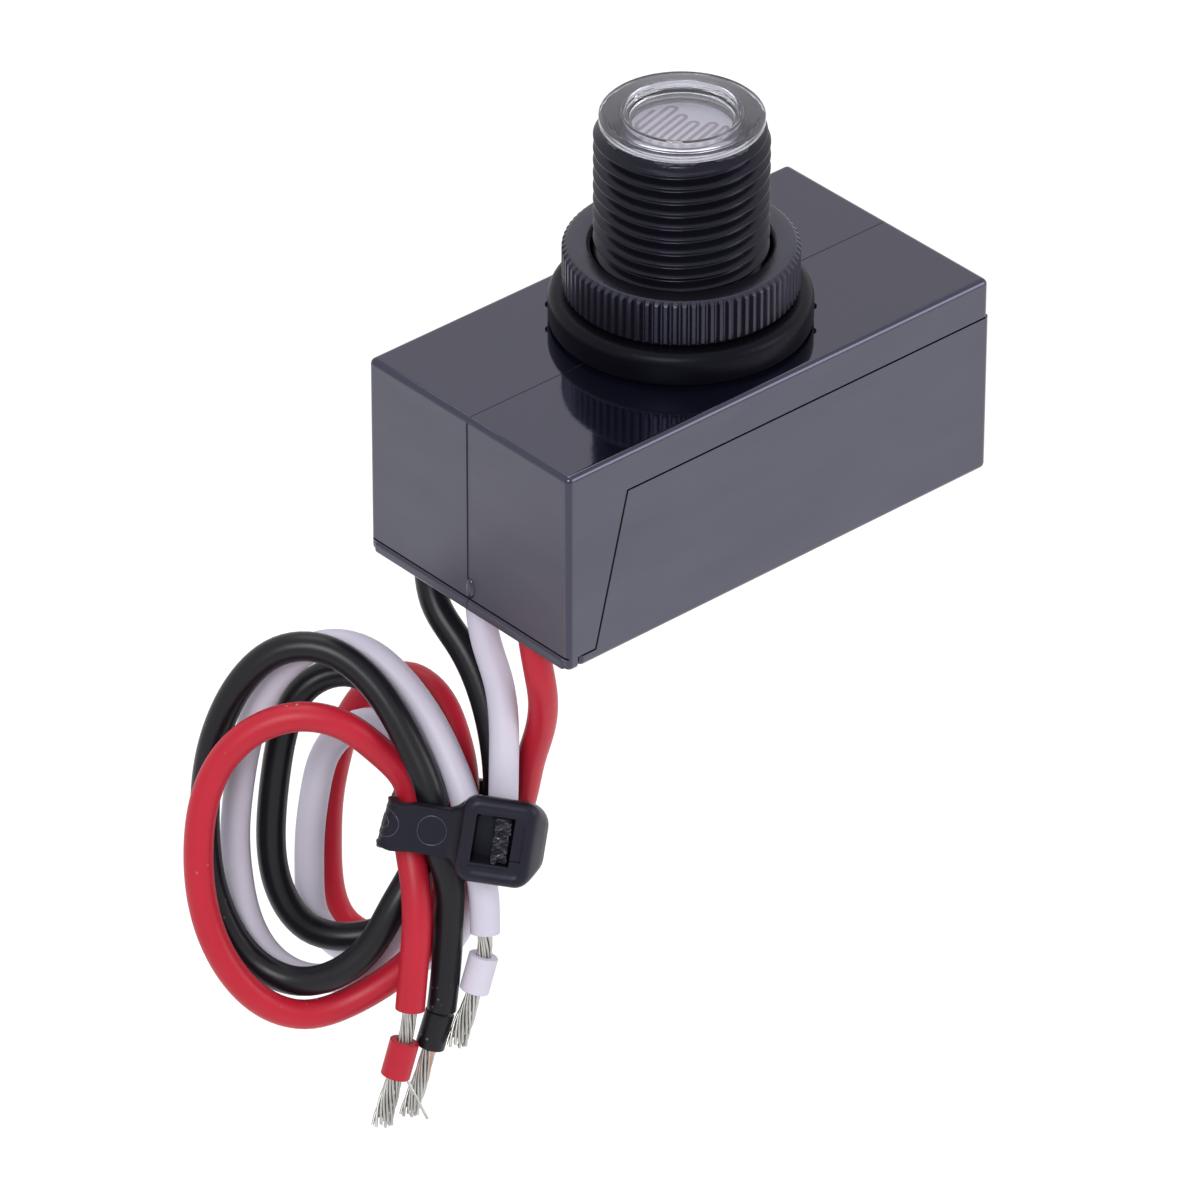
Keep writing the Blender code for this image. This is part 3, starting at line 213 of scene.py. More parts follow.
HEAD_CUTS = [
    ((1.1, -1.85, 6.3), (5.1, 3.4, 11.0)),
    ((5.0, -1.2, 9.02), (6.2, 2.7, 11.0)),
    ((0.9, -2.24, 9.1), (4.6, -2.14, 11.0)),
]
NECK_STATIONS = [
    (-2.6, -2.35, 2.35, 5.95, 6.72), (-1.9, -2.45, 2.5, 5.95, 6.9),
    (-1.3, -2.6, 2.7, 5.95, 7.1), (-0.8, -2.8, 2.95, 5.95, 7.4),
    (-0.4, -3.05, 3.35, 5.95, 7.9), (0.1, -3.3, 3.8, 5.95, 8.5),
]
STRAP_BACK_DROP = 1.6
TOOTH_PITCH, TOOTH_GAP, TOOTH_DEPTH = 1.1, 0.5, 0.16
TIE_MARKS, TIE_MARK_WIDTH = ((0.0, 1.58), (4.9, 1.58), (4.9, 0.75)), 0.15 * MM
TAIL_LOW, TAIL_SIZE = (3.05, -1.8), (1.85, 5.1)
TAIL_FACE, TAIL_FOOT = 8.85, 6.4

ROUND_STEPS = 128

WHITE, BLACK = (1.0, 1.0, 1.0), (0.0, 0.0, 0.0)
COOL_TINT = (0.72, 0.7, 1.0, 1.0)


def loop_matrix():
    across = Vector((math.cos(LOOP_TURN), math.sin(LOOP_TURN), 0.0))
    level_out = Vector((math.sin(LOOP_TURN), -math.cos(LOOP_TURN), 0.0))
    up = Vector((0.0, 0.0, 1.0)) * math.cos(LOOP_LEAN) - level_out * math.sin(LOOP_LEAN)
    matrix = Matrix((across, up, across.cross(up))).transposed().to_4x4()
    matrix.translation = LOOP_MIDDLE
    return matrix


LOOP = loop_matrix()
TIE_PLACE = LOOP @ TIE


def loop_points(route):
    return [LOOP @ (Vector(point) * MM) for point in route]


def smooth_line(points, step):
    """Natural cubic curve through the points, read at an even spacing close to step."""
    points = np.array(points, dtype=float)
    chords = np.linalg.norm(np.diff(points, axis=0), axis=1)
    knots = np.concatenate(([0.0], np.cumsum(np.sqrt(chords))))
    count = len(points)
    gaps = np.diff(knots)
    matrix = np.eye(count)
    right_side = np.zeros_like(points)
    for i in range(1, count - 1):
        matrix[i, i - 1 : i + 2] = (gaps[i - 1], 2 * (gaps[i - 1] + gaps[i]), gaps[i])
        slope_after = (points[i + 1] - points[i]) / gaps[i]
        slope_before = (points[i] - points[i - 1]) / gaps[i - 1]
        right_side[i] = 6 * (slope_after - slope_before)
    bends = np.linalg.solve(matrix, right_side)
    fine = []
    for i, gap in enumerate(gaps):
        for t in np.linspace(0.0, gap, 40, endpoint=False):
            before, after = gap - t, t
            near = points[i] / gap - bends[i] * gap / 6
            far = points[i + 1] / gap - bends[i + 1] * gap / 6
            curved = (bends[i] * before**3 + bends[i + 1] * after**3) / (6 * gap)
            fine.append(curved + near * before + far * after)
    fine = np.array(fine + [points[-1]])
    lengths = np.concatenate(([0.0], np.cumsum(np.linalg.norm(np.diff(fine, axis=0), axis=1))))
    marks = np.linspace(0.0, lengths[-1], max(2, round(lengths[-1] / step) + 1))
    return np.column_stack([np.interp(marks, lengths, fine[:, axis]) for axis in range(3)])


def new_object(name, data):
    obj = bpy.data.objects.new(name, data)
    bpy.context.scene.collection.objects.link(obj)
    return obj


def evaluated_mesh(obj):
    evaluated = obj.evaluated_get(bpy.context.evaluated_depsgraph_get())
    return bpy.data.meshes.new_from_object(evaluated)


def mesh_object(name, bm):
    bmesh.ops.recalc_face_normals(bm, faces=bm.faces)
    mesh = bpy.data.meshes.new(name)
    bm.to_mesh(mesh)
    bm.free()
    return new_object(name, mesh)


def shade(obj, angle):
    obj.data.shade_smooth()
    obj.data.set_sharp_from_angle(angle=math.radians(angle))


def apply_modifiers(obj):
    mesh = evaluated_mesh(obj)
    obj.modifiers.clear()
    obj.data = mesh


def shade_moulding(obj, angle):
    """Smooth shading, weighted by area so that large faces stay flat beside their roundings."""
    shade(obj, angle)
    modifier = obj.modifiers.new("weigh", "WEIGHTED_NORMAL")
    modifier.mode = "FACE_AREA"
    modifier.weight = 100
    modifier.keep_sharp = True
    apply_modifiers(obj)


def dress(obj, material, node=None):
    """Give a piece its material and its body, and hide the node that it stands for."""
    obj.data.materials.clear()
    obj.data.materials.append(material)
    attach(obj, "root")
    if node:
        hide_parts(node)
    return obj


def box(name, low, high):
    low, high = Vector(low), Vector(high)
    bm = bmesh.new()
    bmesh.ops.create_cube(bm, size=1.0)
    bmesh.ops.scale(bm, vec=high - low, verts=bm.verts)
    bmesh.ops.translate(bm, vec=(low + high) / 2, verts=bm.verts)
    return mesh_object(name, bm)


def prism(name, outline, low, high):
    bm = bmesh.new()
    face = bm.faces.new([bm.verts.new((x, y, low)) for x, y in outline])
    raised = bmesh.ops.extrude_face_region(bm, geom=[face])["geom"]
    top = [item for item in raised if isinstance(item, bmesh.types.BMVert)]
    bmesh.ops.translate(bm, vec=(0.0, 0.0, high - low), verts=top)
    return mesh_object(name, bm)


def turned(name, profile, closed=False, steps=ROUND_STEPS):
    """Turn a profile of (radius, height) points about Z."""
    bm = bmesh.new()
    verts = [bm.verts.new((radius, 0.0, height)) for radius, height in profile]
    pairs = list(zip(verts, verts[1:]))
    if closed:
        pairs.append((verts[-1], verts[0]))
    edges = [bm.edges.new(pair) for pair in pairs]
    bmesh.ops.spin(
        bm, geom=verts + edges, axis=(0.0, 0.0, 1.0), cent=(0.0, 0.0, 0.0),
        angle=2 * math.pi, steps=steps,
    )
    bmesh.ops.remove_doubles(bm, verts=bm.verts, dist=SAME_PLACE)
    return mesh_object(name, bm)


def rounded_box(name, low, high, radius, segments):
    obj = box(name, low, high)
    modifier = obj.modifiers.new("round", "BEVEL")
    modifier.width = radius
    modifier.segments = segments
    modifier.limit_method = "ANGLE"
    modifier.angle_limit = math.radians(30.0)
    apply_modifiers(obj)
    return obj


def add_stack(bm, rings):
    """Close a stack of like rings of places into one body."""
    rings = [[bm.verts.new(spot) for spot in ring] for ring in rings]
    for lower, upper in zip(rings, rings[1:]):
        for k in range(len(lower)):
            after = (k + 1) % len(lower)
            bm.faces.new((lower[k], lower[after], upper[after], upper[k]))
    bm.faces.new(rings[0])
    bm.faces.new(rings[-1])


def ring_grid(rows, columns, point):
    """Closed mesh from a grid that goes round in both directions."""
    bm = bmesh.new()
    grid = [[bm.verts.new(point(i, j)) for j in range(columns)] for i in range(rows)]
    for i in range(rows):
        for j in range(columns):
            after, beside = (i + 1) % rows, (j + 1) % columns
            bm.faces.new((grid[i][j], grid[i][beside], grid[after][beside], grid[after][j]))
    return bm


def combine(obj, other, operation):
    """Boolean with another object, which is then removed."""
    modifier = obj.modifiers.new(operation.lower(), "BOOLEAN")
    modifier.operation = operation
    modifier.solver = "EXACT"
    modifier.object = other
    apply_modifiers(obj)
    bpy.data.objects.remove(other)


def cut_box(obj, low, high):
    combine(obj, box("cutter", low, high), "DIFFERENCE")


class Shader:
    """A material's node tree, with short calls for the nodes that the looks are made of."""

    def __init__(self, name, color, roughness, **sockets):
        self.material = bpy.data.materials.new(name)
        self.material.use_nodes = True
        self.material.diffuse_color = (*color, 1.0)
        self.tree = self.material.node_tree
        self.shader = self.tree.nodes["Principled BSDF"]
        self.fill(self.shader, Base_Color=(*color, 1.0), Roughness=roughness, **sockets)
        self.coordinates = self.tree.nodes.new("ShaderNodeTexCoord")
        self.place = self.coordinates.outputs["Object"]

    def fill(self, node, **sockets):
        """Link or set sockets, named with an underscore for each space."""
        for label, value in sockets.items():
            socket = node.inputs[label.replace("_", " ")]
            if isinstance(value, bpy.types.NodeSocket):
                self.tree.links.new(value, socket)
            else:
                socket.default_value = value

    def node(self, kind, settings=None, **sockets):
        made = self.tree.nodes.new(kind)
        for key, value in (settings or {}).items():
            setattr(made, key, value)
        self.fill(made, **sockets)
        return made

    def noise(self, scale, detail=4.0, roughness=0.5, stretch=None):
        place = self.place
        if stretch:
            place = self.node("ShaderNodeMapping", Vector=place, Scale=stretch).outputs["Vector"]
        made = self.node(
            "ShaderNodeTexNoise", Vector=place, Scale=scale, Detail=detail, Roughness=roughness
        )
        return made.outputs["Fac"]

    def ramp(self, factor, stops):
        made = self.node("ShaderNodeValToRGB", Fac=factor)
        elements = made.color_ramp.elements
        while len(elements) < len(stops):
            elements.new(0.5)
        for element, (position, color) in zip(elements, stops):
            element.position = position
            element.color = (*color, 1.0)
        return made.outputs["Color"]

    def spread(self, factor, low, high, start=0.0, end=1.0):
        """Map a factor's range from start to end onto low to high."""
        made = self.node(
            "ShaderNodeMapRange", Value=factor, From_Min=start, From_Max=end,
            To_Min=low, To_Max=high,
        )
        return made.outputs["Result"]

    def mix(self, kind, factor, first, second):
        made = self.node("ShaderNodeMix", {"data_type": kind}, Factor=factor, A=first, B=second)
        return made.outputs["Result"]

    def math(self, operation, first, second):
        made = self.node("ShaderNodeMath", {"operation": operation})
        self.tree.links.new(first, made.inputs[0])
        self.tree.links.new(second, made.inputs[1])
        return made.outputs[0]

    def tones(self, scale, detail, stops):
        self.fill(self.shader, Base_Color=self.ramp(self.noise(scale, detail), stops))

    def roughness(self, scale, detail, low, high):
        self.fill(self.shader, Roughness=self.spread(self.noise(scale, detail), low, high))

    def bump(self, height, distance):
        made = self.node("ShaderNodeBump", Height=height, Distance=distance)
        self.fill(self.shader, Normal=made.outputs["Normal"])


def scaled(color, factor):
    return tuple(factor * c for c in color)


def moulded_plastic(name, color, rough_low, rough_high, gloss=0.5, grain=0.00001, scale=1400.0):
    """Moulded plastic with a faint uneven gloss and a fine grain."""
    shader = Shader(name, color, rough_low, Specular_IOR_Level=gloss, Specular_Tint=COOL_TINT)
    shader.tones(160.0, 3.0, [(0.35, scaled(color, 0.86)), (0.65, scaled(color, 1.12))])
    shader.roughness(420.0, 5.0, rough_low, rough_high)
    shader.bump(shader.noise(scale, 2.0), grain)
    return shader.material


def insulation(name, color, shade_color, rough_low, rough_high, dust, gloss):
    """Soft plastic insulation: slightly waxy, uneven in tone, with specks of dust."""
    shader = Shader(name, color, rough_low, Specular_IOR_Level=gloss)
    base = shader.ramp(shader.noise(90.0, 4.0), [(0.3, shade_color), (0.7, color)])
    if dust:
        speck = shader.node("ShaderNodeTexVoronoi", Vector=shader.place, Scale=900.0)
        dots = shader.ramp(speck.outputs["Distance"], [(0.1, WHITE), (0.16, BLACK)])
        patch = shader.ramp(shader.noise(140.0, 3.0), [(0.6, BLACK), (0.7, WHITE)])
        pale = 0.12 + 0.3 * color[0]
        dust_color = (pale + dust * color[0] * 0.3, pale, pale, 1.0)
        base = shader.mix("RGBA", shader.math("MULTIPLY", dots, patch), base, dust_color)
    shader.fill(shader.shader, Base_Color=base)
    shader.roughness(300.0, 4.0, rough_low, rough_high)
    shader.bump(shader.noise(900.0, 3.0), 0.000012)
    return shader.material


def shell_plastic():
    """Black housing plastic: polished on top, satin with flow streaks below, its sides lightened as
    painted reflection and its edges darkened as painted shade.
    """
    shader = Shader(
        "shell_plastic", (0.03, 0.03, 0.034), 0.3, Specular_IOR_Level=1.0, Specular_Tint=COOL_TINT
    )
    normal = shader.coordinates.outputs["Normal"]
    facing = shader.node("ShaderNodeSeparateXYZ", Vector=normal)
    top = shader.spread(facing.outputs["Z"], 0.0, 1.0, 0.55, 0.95)

    # Mask of the rounded edges: the colour is darkened there as painted shade, and the roughness is
    # lowered.
    size = shader.node("ShaderNodeVectorMath", {"operation": "ABSOLUTE"}, Vector=normal)
    parts = shader.node("ShaderNodeSeparateXYZ", Vector=size.outputs["Vector"])
    level = shader.math("MAXIMUM", parts.outputs["X"], parts.outputs["Y"])
    largest = shader.math("MAXIMUM", level, parts.outputs["Z"])
    edge = shader.ramp(largest, [(0.93, WHITE), (0.995, BLACK)])

    # The sides' colour is lighter than the top's as painted reflection, with flow streaks in it.
    flow = shader.noise(55.0, 5.0, 0.6, (1.0, 1.0, 3.5))
    side_tone_painted_reflection = shader.ramp(flow, [(0.3, (0.036, 0.037, 0.045)), (0.7, (0.05, 0.051, 0.061))])
    # Darker colour on the edges: painted shade.
    sides_painted_reflection_edge_shade = shader.mix("RGBA", edge, side_tone_painted_reflection, (0.004, 0.004, 0.008, 1.0))
    # Top faces keep the dark polished colour; the sides' lighter tone beside it is painted reflection.
    shader.fill(
        shader.shader, Base_Color=shader.mix("RGBA", top, sides_painted_reflection_edge_shade, (0.004, 0.004, 0.01, 1.0))
    )

    satin = shader.spread(shader.noise(240.0, 5.0), 0.3, 0.42)
    crisp = shader.mix("FLOAT", edge, satin, 0.13)
    polish = shader.spread(shader.noise(180.0, 4.0), 0.05, 0.1)
    shader.fill(shader.shader, Roughness=shader.mix("FLOAT", top, crisp, polish))
    shader.bump(shader.noise(700.0, 4.0), 0.000006)
    return shader.material


def metal(name, color, roughness):
    shader = Shader(name, color, roughness, Metallic=0.9)
    shader.tones(500.0, 3.0, [(0.3, scaled(color, 0.68)), (0.6, color)])
    shader.roughness(2500.0, 3.0, roughness, roughness + 0.18)
    return shader.material


def clear_plastic(name, color, roughness, clearness, rim_painted_shade=None):
    """Clear plastic whose thick rim outside the well is tinted grey as painted shade, when a rim
    colour is given.
    """
    shader = Shader(name, color, roughness, Transmission_Weight=clearness, IOR=1.46)
    if rim_painted_shade:
        level = shader.node("ShaderNodeVectorMath", {"operation": "MULTIPLY"}, Vector=shader.place)
        level.inputs[1].default_value = (1.0, 1.0, 0.0)
        radius = shader.node(
            "ShaderNodeVectorMath", {"operation": "LENGTH"}, Vector=level.outputs["Vector"]
        )
        # Grey tint outside the well: painted shade over what the rim lets through.
        share = shader.spread(radius.outputs["Value"], 0.0, 1.0, RIM_SHADE_FROM, RIM_SHADE_TO)
        shader.fill(
            shader.shader, Base_Color=shader.ramp(share, [(0.0, color), (1.0, rim_painted_shade)])
        )
    shader.roughness(900.0, 3.0, roughness, roughness + 0.03)
    shader.bump(shader.noise(450.0, 3.0), 0.00001)
    return shader.material


def cell_face():
    """Pale ceramic face, a little yellow where it is bare."""
    shader = Shader("cell_face", (0.6, 0.56, 0.62), 0.42)
    stops = [(0.35, (0.76, 0.73, 0.81)), (0.6, (0.82, 0.79, 0.83)), (0.75, (0.84, 0.81, 0.71))]
    shader.tones(170.0, 3.0, stops)
    shader.bump(shader.noise(2200.0, 2.0), 0.00001)
    return shader.material


def cell_track():
    shader = Shader("cell_track", (0.36, 0.27, 0.34), 0.5)
    shader.tones(1800.0, 3.0, [(0.35, (0.31, 0.23, 0.29)), (0.65, (0.4, 0.31, 0.38))])
    shader.bump(shader.noise(3000.0, 2.0), 0.000008)
    return shader.material


def board_laminate():
    """Resin laminate with its woven cloth just showing."""
    resin, cloth = (0.5, 0.38, 0.16), (0.44, 0.33, 0.13)
    shader = Shader("board_laminate", resin, 0.45)
    weave = shader.node(
        "ShaderNodeTexChecker", Vector=shader.place, Scale=1600.0,
        Color1=(*resin, 1.0), Color2=(*cloth, 1.0),
    )
    shader.fill(shader.shader, Base_Color=weave.outputs["Color"])
    shader.bump(weave.outputs["Fac"], 0.000008)
    return shader.material


def dress_inner_parts():
    """Materials of the parts inside the housing, which keep the frame's solids."""
    looks = {
        "circuit_board": board_laminate(),
        "switching_relay": moulded_plastic("relay_case", (0.025, 0.06, 0.18), 0.36, 0.48),
        "dropper_capacitor": moulded_plastic("film_case", (0.45, 0.3, 0.05), 0.38, 0.52),
        "smoothing_capacitor": moulded_plastic("can_sleeve", (0.02, 0.03, 0.08), 0.25, 0.38),
        "surge_varistor": moulded_plastic("varistor_coat", (0.03, 0.1, 0.32), 0.4, 0.55),
    }
    diode = moulded_plastic("diode_case", (0.015, 0.015, 0.017), 0.38, 0.5)
    resistor = moulded_plastic("resistor_coat", (0.5, 0.38, 0.24), 0.4, 0.55)
    brass = metal("brass", (0.7, 0.52, 0.22), 0.28)
    for name in ("rectifier_diode_1", "rectifier_diode_2", "zener_diode", "driver_transistor"):
        looks[name] = diode
    for name in ("load_resistor", "bleed_resistor", "delay_resistor"):
        looks[name] = resistor
    for color in LEAD_EXIT_Y:
        looks[f"{color}_terminal"] = brass
    for name, material in looks.items():
        NODES[name].data.materials[0] = material


def make_camera():
    data = bpy.data.cameras.new("camera")
    data.lens = CAMERA_LENS
    data.sensor_width = 36.0
    data.clip_start, data.clip_end = 0.01, 20.0
    camera = new_object("camera", data)
    camera.location = CAMERA_PLACE
    camera.rotation_euler = CAMERA_TURN
    bpy.context.scene.camera = camera


def tube_curve(name, lines, diameter, resolution):
    """Round tubes along lists of points, as one curve."""
    curve = bpy.data.curves.new(name, "CURVE")
    curve.dimensions = "3D"
    curve.bevel_depth = diameter / 2
    curve.bevel_resolution = resolution
    curve.use_fill_caps = True
    for points in lines:
        spline = curve.splines.new("POLY")
        spline.points.add(len(points) - 1)
        for knot, point in zip(spline.points, points):
            knot.co = (*point, 1.0)
        spline.use_smooth = True
    return new_object(name, curve)


def make_leads(materials, strand_material, copper, tie_pieces):
    for color, route in LEAD_ROUTES.items():
        y = LEAD_EXIT_Y[color]
        heights = (LEAD_TOP, (LEAD_TOP - HEIGHT) / 2, LEAD_BEND_FROM, -HEIGHT)
        inside = [Vector((LEAD_EXIT_X, y, z)) for z in heights]
        line = smooth_line(inside + loop_points(route), LEAD_STEP)
        name = f"{color}_insulation"
        lead = tube_curve(name, [line], LEAD_DIAMETER, 8)
        dress(lead, materials[color], f"{color}_lead")
        pieces = make_strands(color, strand_material, copper)
        pieces.append(make_slug(color, materials[color]))
        if color == "black":
            pieces += tie_pieces


def tube_mesh(name, lines, diameter, resolution=2):
    """One mesh of round wires, each along its own list of points."""
    wires = tube_curve(name, lines, diameter, resolution)
    mesh = evaluated_mesh(wires)
    bpy.data.objects.remove(wires)
    mesh.shade_smooth()
    return new_object(name, mesh)


def strand_lines(color):
    """Strands laid around a core in two layers, which open a little towards the cut end."""
    line = [Vector(point) for point in smooth_line(loop_points(STRAND_ROUTES[color]), STRAND_STEP)]
    out = (LOOP.to_3x3() @ Vector((0.0, 0.0, 1.0))).normalized()
    count = len(line)
    lines = []
    for number, share in STRAND_LAYERS:
        for k in range(number):
            index = len(lines) + 1
            wander = math.sin(12.9898 * index + 1.7)
            again = math.sin(7.233 * index + 0.4)
            last = count - 1 - round(1.2 + 1.2 * again)
            points = []
            for i in range(last + 1):
                ahead = line[min(i + 1, count - 1)] - line[max(i - 1, 0)]
                side = ahead.cross(out).normalized()
                run = i / (count - 1)
                loose = max(0.0, run - 0.45) / 0.55
                splay = 1.0 + loose**1.5 * (SPLAY[color] + 0.35 * wander)
                turn = 2 * math.pi * k / number + 0.3 * number + STRAND_TWIST * run
                turn += 0.22 * again * math.sin(6.0 * run + index)
                reach = BUNDLE_RADIUS * share * splay
                offset = side * math.cos(turn) * reach + out * math.sin(turn) * reach
                offset += side * 0.12 * MM * loose * math.sin(4.0 * run + 2.0 * index)
                points.append(line[i] + offset)
            lines.append(points)
    for stray in STRAYS.get(color, []):
        lines.append([Vector(point) for point in smooth_line(loop_points(stray), STRAND_STEP)])
    return lines


def make_strands(color, material, copper):
    """Tinned strands, and those that are bare copper as a piece of their own."""
    lines = strand_lines(color)
    untinned = COPPER.get(color, ())
    tinned_lines = [points for k, points in enumerate(lines) if k not in untinned]
    strands = tube_mesh(f"{color}_bare_strands", tinned_lines, STRAND_DIAMETER)
    pieces = [dress(strands, material, f"{color}_strands")]
    if untinned:
        copper_lines = [lines[k] for k in untinned]
        copper_wire = tube_mesh(f"{color}_copper_strand", copper_lines, STRAND_DIAMETER)
        pieces.append(dress(copper_wire, copper))
    return pieces


def make_slug(color, material):
    """The cut piece of insulation left on the strands."""
    top, bottom = loop_points(SLUG_ENDS[color])
    outer, inner, half = LEAD_DIAMETER / 2, BUNDLE_RADIUS + SLUG_CLEARANCE, SLUG_LENGTH / 2
    edge = SLUG_EDGE
    profile = [
        (inner, half - edge), (inner + edge, half), (outer - edge, half), (outer, half - edge),
        (outer, 0.0), (outer, edge - half), (outer - edge, -half), (inner + edge, -half),
        (inner, edge - half),
    ]
    slug = turned(f"{color}_cut_sleeve", profile, closed=True, steps=48)
    turn = (top - bottom).to_track_quat("Z", "Y").to_matrix().to_4x4()
    slug.data.transform(Matrix.Translation((top + bottom) / 2) @ turn)
    shade(slug, 40)
    return dress(slug, material, f"{color}_slug")


def seam_outline(grow):
    past_right, below = RIGHT + CUT_MARGIN, -HEIGHT - CUT_MARGIN
    floor_top = -HEIGHT + FLOOR
    return [
        (past_right, below),
        (past_right, -SEAM_DROP + grow),
        (LEFT + SEAM_TOP_INSET - grow, -SEAM_DROP + grow),
        (LEFT + SEAM_FOOT_INSET - grow, floor_top + grow),
        (LEFT + WALL - grow, floor_top + grow),
        (LEFT + WALL - grow, below),
    ]


def seam_prism(name, grow):
    reach = BACK + CUT_MARGIN
    block = prism(name, seam_outline(grow), -reach, reach)
    block.data.transform(Matrix.Rotation(math.radians(90.0), 4, "X"))
    return block


def cut_inset(obj, inset, bottom, top):
    low = (LEFT + inset, -BACK + inset, bottom)
    cut_box(obj, low, (RIGHT - inset, BACK - inset, top))


def make_body(material):
    """First moulding, apart from its stem: top, left end with its foot, side strips and lip."""
    low, high = (LEFT, -BACK, -HEIGHT), (RIGHT, BACK, 0.0)
    body = rounded_box("housing_body_fine", low, high, EDGE_RADIUS, 6)
    foot_low = (LEFT - FOOT_PROUD, -BACK + EDGE_RADIUS, -HEIGHT)
    foot_high = (LEFT + WALL / 2, BACK - EDGE_RADIUS, FOOT_TOP)
    combine(body, rounded_box("foot", foot_low, foot_high, FOOT_RADIUS, 5), "UNION")
    past_left, past_right, past_back = LEFT - CUT_MARGIN, RIGHT + CUT_MARGIN, BACK + CUT_MARGIN
    groove_high = (LEFT + FOOT_GROOVE, past_back, FOOT_TOP + FOOT_GROOVE * 0.7)
    cut_box(body, (past_left, -past_back, FOOT_TOP), groove_high)

    zone = seam_prism("zone", SEAM_GAP)
    cut_inset(zone, LIP_OUTSIDE, LIP_BLANK_LOW, CUT_MARGIN)
    combine(body, zone, "DIFFERENCE")
    cut_inset(body, LIP_INSIDE, LIP_HOLLOW_LOW, -WALL)
    cut_inset(body, WALL, -HEIGHT - CUT_MARGIN, LIP_BOTTOM)

    line, deep = LINE_HALF_WIDTH, LINE_DEPTH
    cut_box(body, (past_left, -line, -deep), (past_right, line, CUT_MARGIN))
    cut_box(body, (past_left, -line, -HEIGHT), (LEFT + deep, line, CUT_MARGIN))
    flash_low = (LEFT - FLASH_PROUD, line, FOOT_TOP + 2 * FOOT_GROOVE)
    flash_high = (LEFT + WALL / 2, line + FLASH_WIDTH, -EDGE_RADIUS)
    combine(body, box("flash", flash_low, flash_high), "UNION")
    bm = bmesh.new()
    bmesh.ops.create_uvsphere(bm, u_segments=20, v_segments=12, radius=1.0)
    bmesh.ops.scale(bm, vec=GATE_REACH, verts=bm.verts)
    bmesh.ops.translate(bm, vec=GATE_PLACE, verts=bm.verts)
    combine(body, mesh_object("gate", bm), "UNION")
    shade_moulding(body, 30)
    dress(body, material, "housing_body")


def make_cover(material):
    """Second moulding: floor, right end and side flaps, with a notch for each lead."""
    low, high = (LEFT + WALL, -BACK, -HEIGHT), (RIGHT + COVER_PROUD, BACK, 0.0)
    cover = rounded_box("housing_cover_fine", low, high, EDGE_RADIUS, 6)
    combine(cover, seam_prism("blank", 0.0), "INTERSECT")
    inner_high = (RIGHT + COVER_PROUD - WALL, BACK - WALL, CUT_MARGIN)
    cut_box(cover, (LEFT, -BACK + WALL, -HEIGHT + FLOOR), inner_high)
    radius = LEAD_NOTCH_RADIUS
    angles = [math.radians(-90.0 + 180.0 * i / 16) for i in range(17)]
    for y in LEAD_EXIT_Y.values():
        outline = [(LEFT, y + radius), (LEFT, y - radius)]
        outline += [(LEAD_EXIT_X + radius * math.cos(a), y + radius * math.sin(a)) for a in angles]
        notch = prism("notch", outline, -HEIGHT - CUT_MARGIN, -HEIGHT + FLOOR + CUT_MARGIN)
        combine(cover, notch, "DIFFERENCE")
    shade_moulding(cover, 30)
    dress(cover, material, "housing_cover")


def make_stem(material):
    """The stem's outside as rows that follow the thread's helix, trimmed by level planes."""
    rise = CREST_RADIUS - ROOT_RADIUS
    turns = int((STEM_TOP + 2 * PITCH) / PITCH) + 2
    bm = bmesh.new()
    rows = []
    for turn in range(turns):
        for share, height in THREAD_SECTION:
            row = []
            for step in range(THREAD_STEPS + 1):
                angle = 2 * math.pi * step / THREAD_STEPS
                level = THREAD_PHASE - 1.5 * PITCH
                level += PITCH * (turn + share + step / THREAD_STEPS)
                fade = min(1.0, max(0.0, (STEM_TOP - level) / THREAD_RUNOUT))
                radius = ROOT_RADIUS + rise * height * fade
                spot = (radius * math.cos(angle), radius * math.sin(angle), level)
                row.append(bm.verts.new(spot))
            rows.append(row)
    for lower, upper in zip(rows, rows[1:]):
        for i in range(THREAD_STEPS):
            bm.faces.new((lower[i], lower[i + 1], upper[i + 1], upper[i]))
    bmesh.ops.remove_doubles(bm, verts=bm.verts, dist=SAME_PLACE)
    for height, side in ((STEM_TOP, 1.0), (STEM_LOW, -1.0)):
        bmesh.ops.bisect_plane(
            bm, geom=[*bm.verts, *bm.edges, *bm.faces], plane_co=(0.0, 0.0, height),
            plane_no=(0.0, 0.0, side), clear_outer=True,
        )
    bmesh.ops.holes_fill(bm, edges=[edge for edge in bm.edges if edge.is_boundary])
    stem = mesh_object("threaded_stem", bm)
    top, radius, low = STEM_TOP + CUT_MARGIN, STEM_BORE_RADIUS, -CUT_MARGIN
    combine(stem, turned("bore", [(0.0, top), (radius, top), (radius, low), (0.0, low)]), "DIFFERENCE")
    shade(stem, 50)
    dress(stem, material)


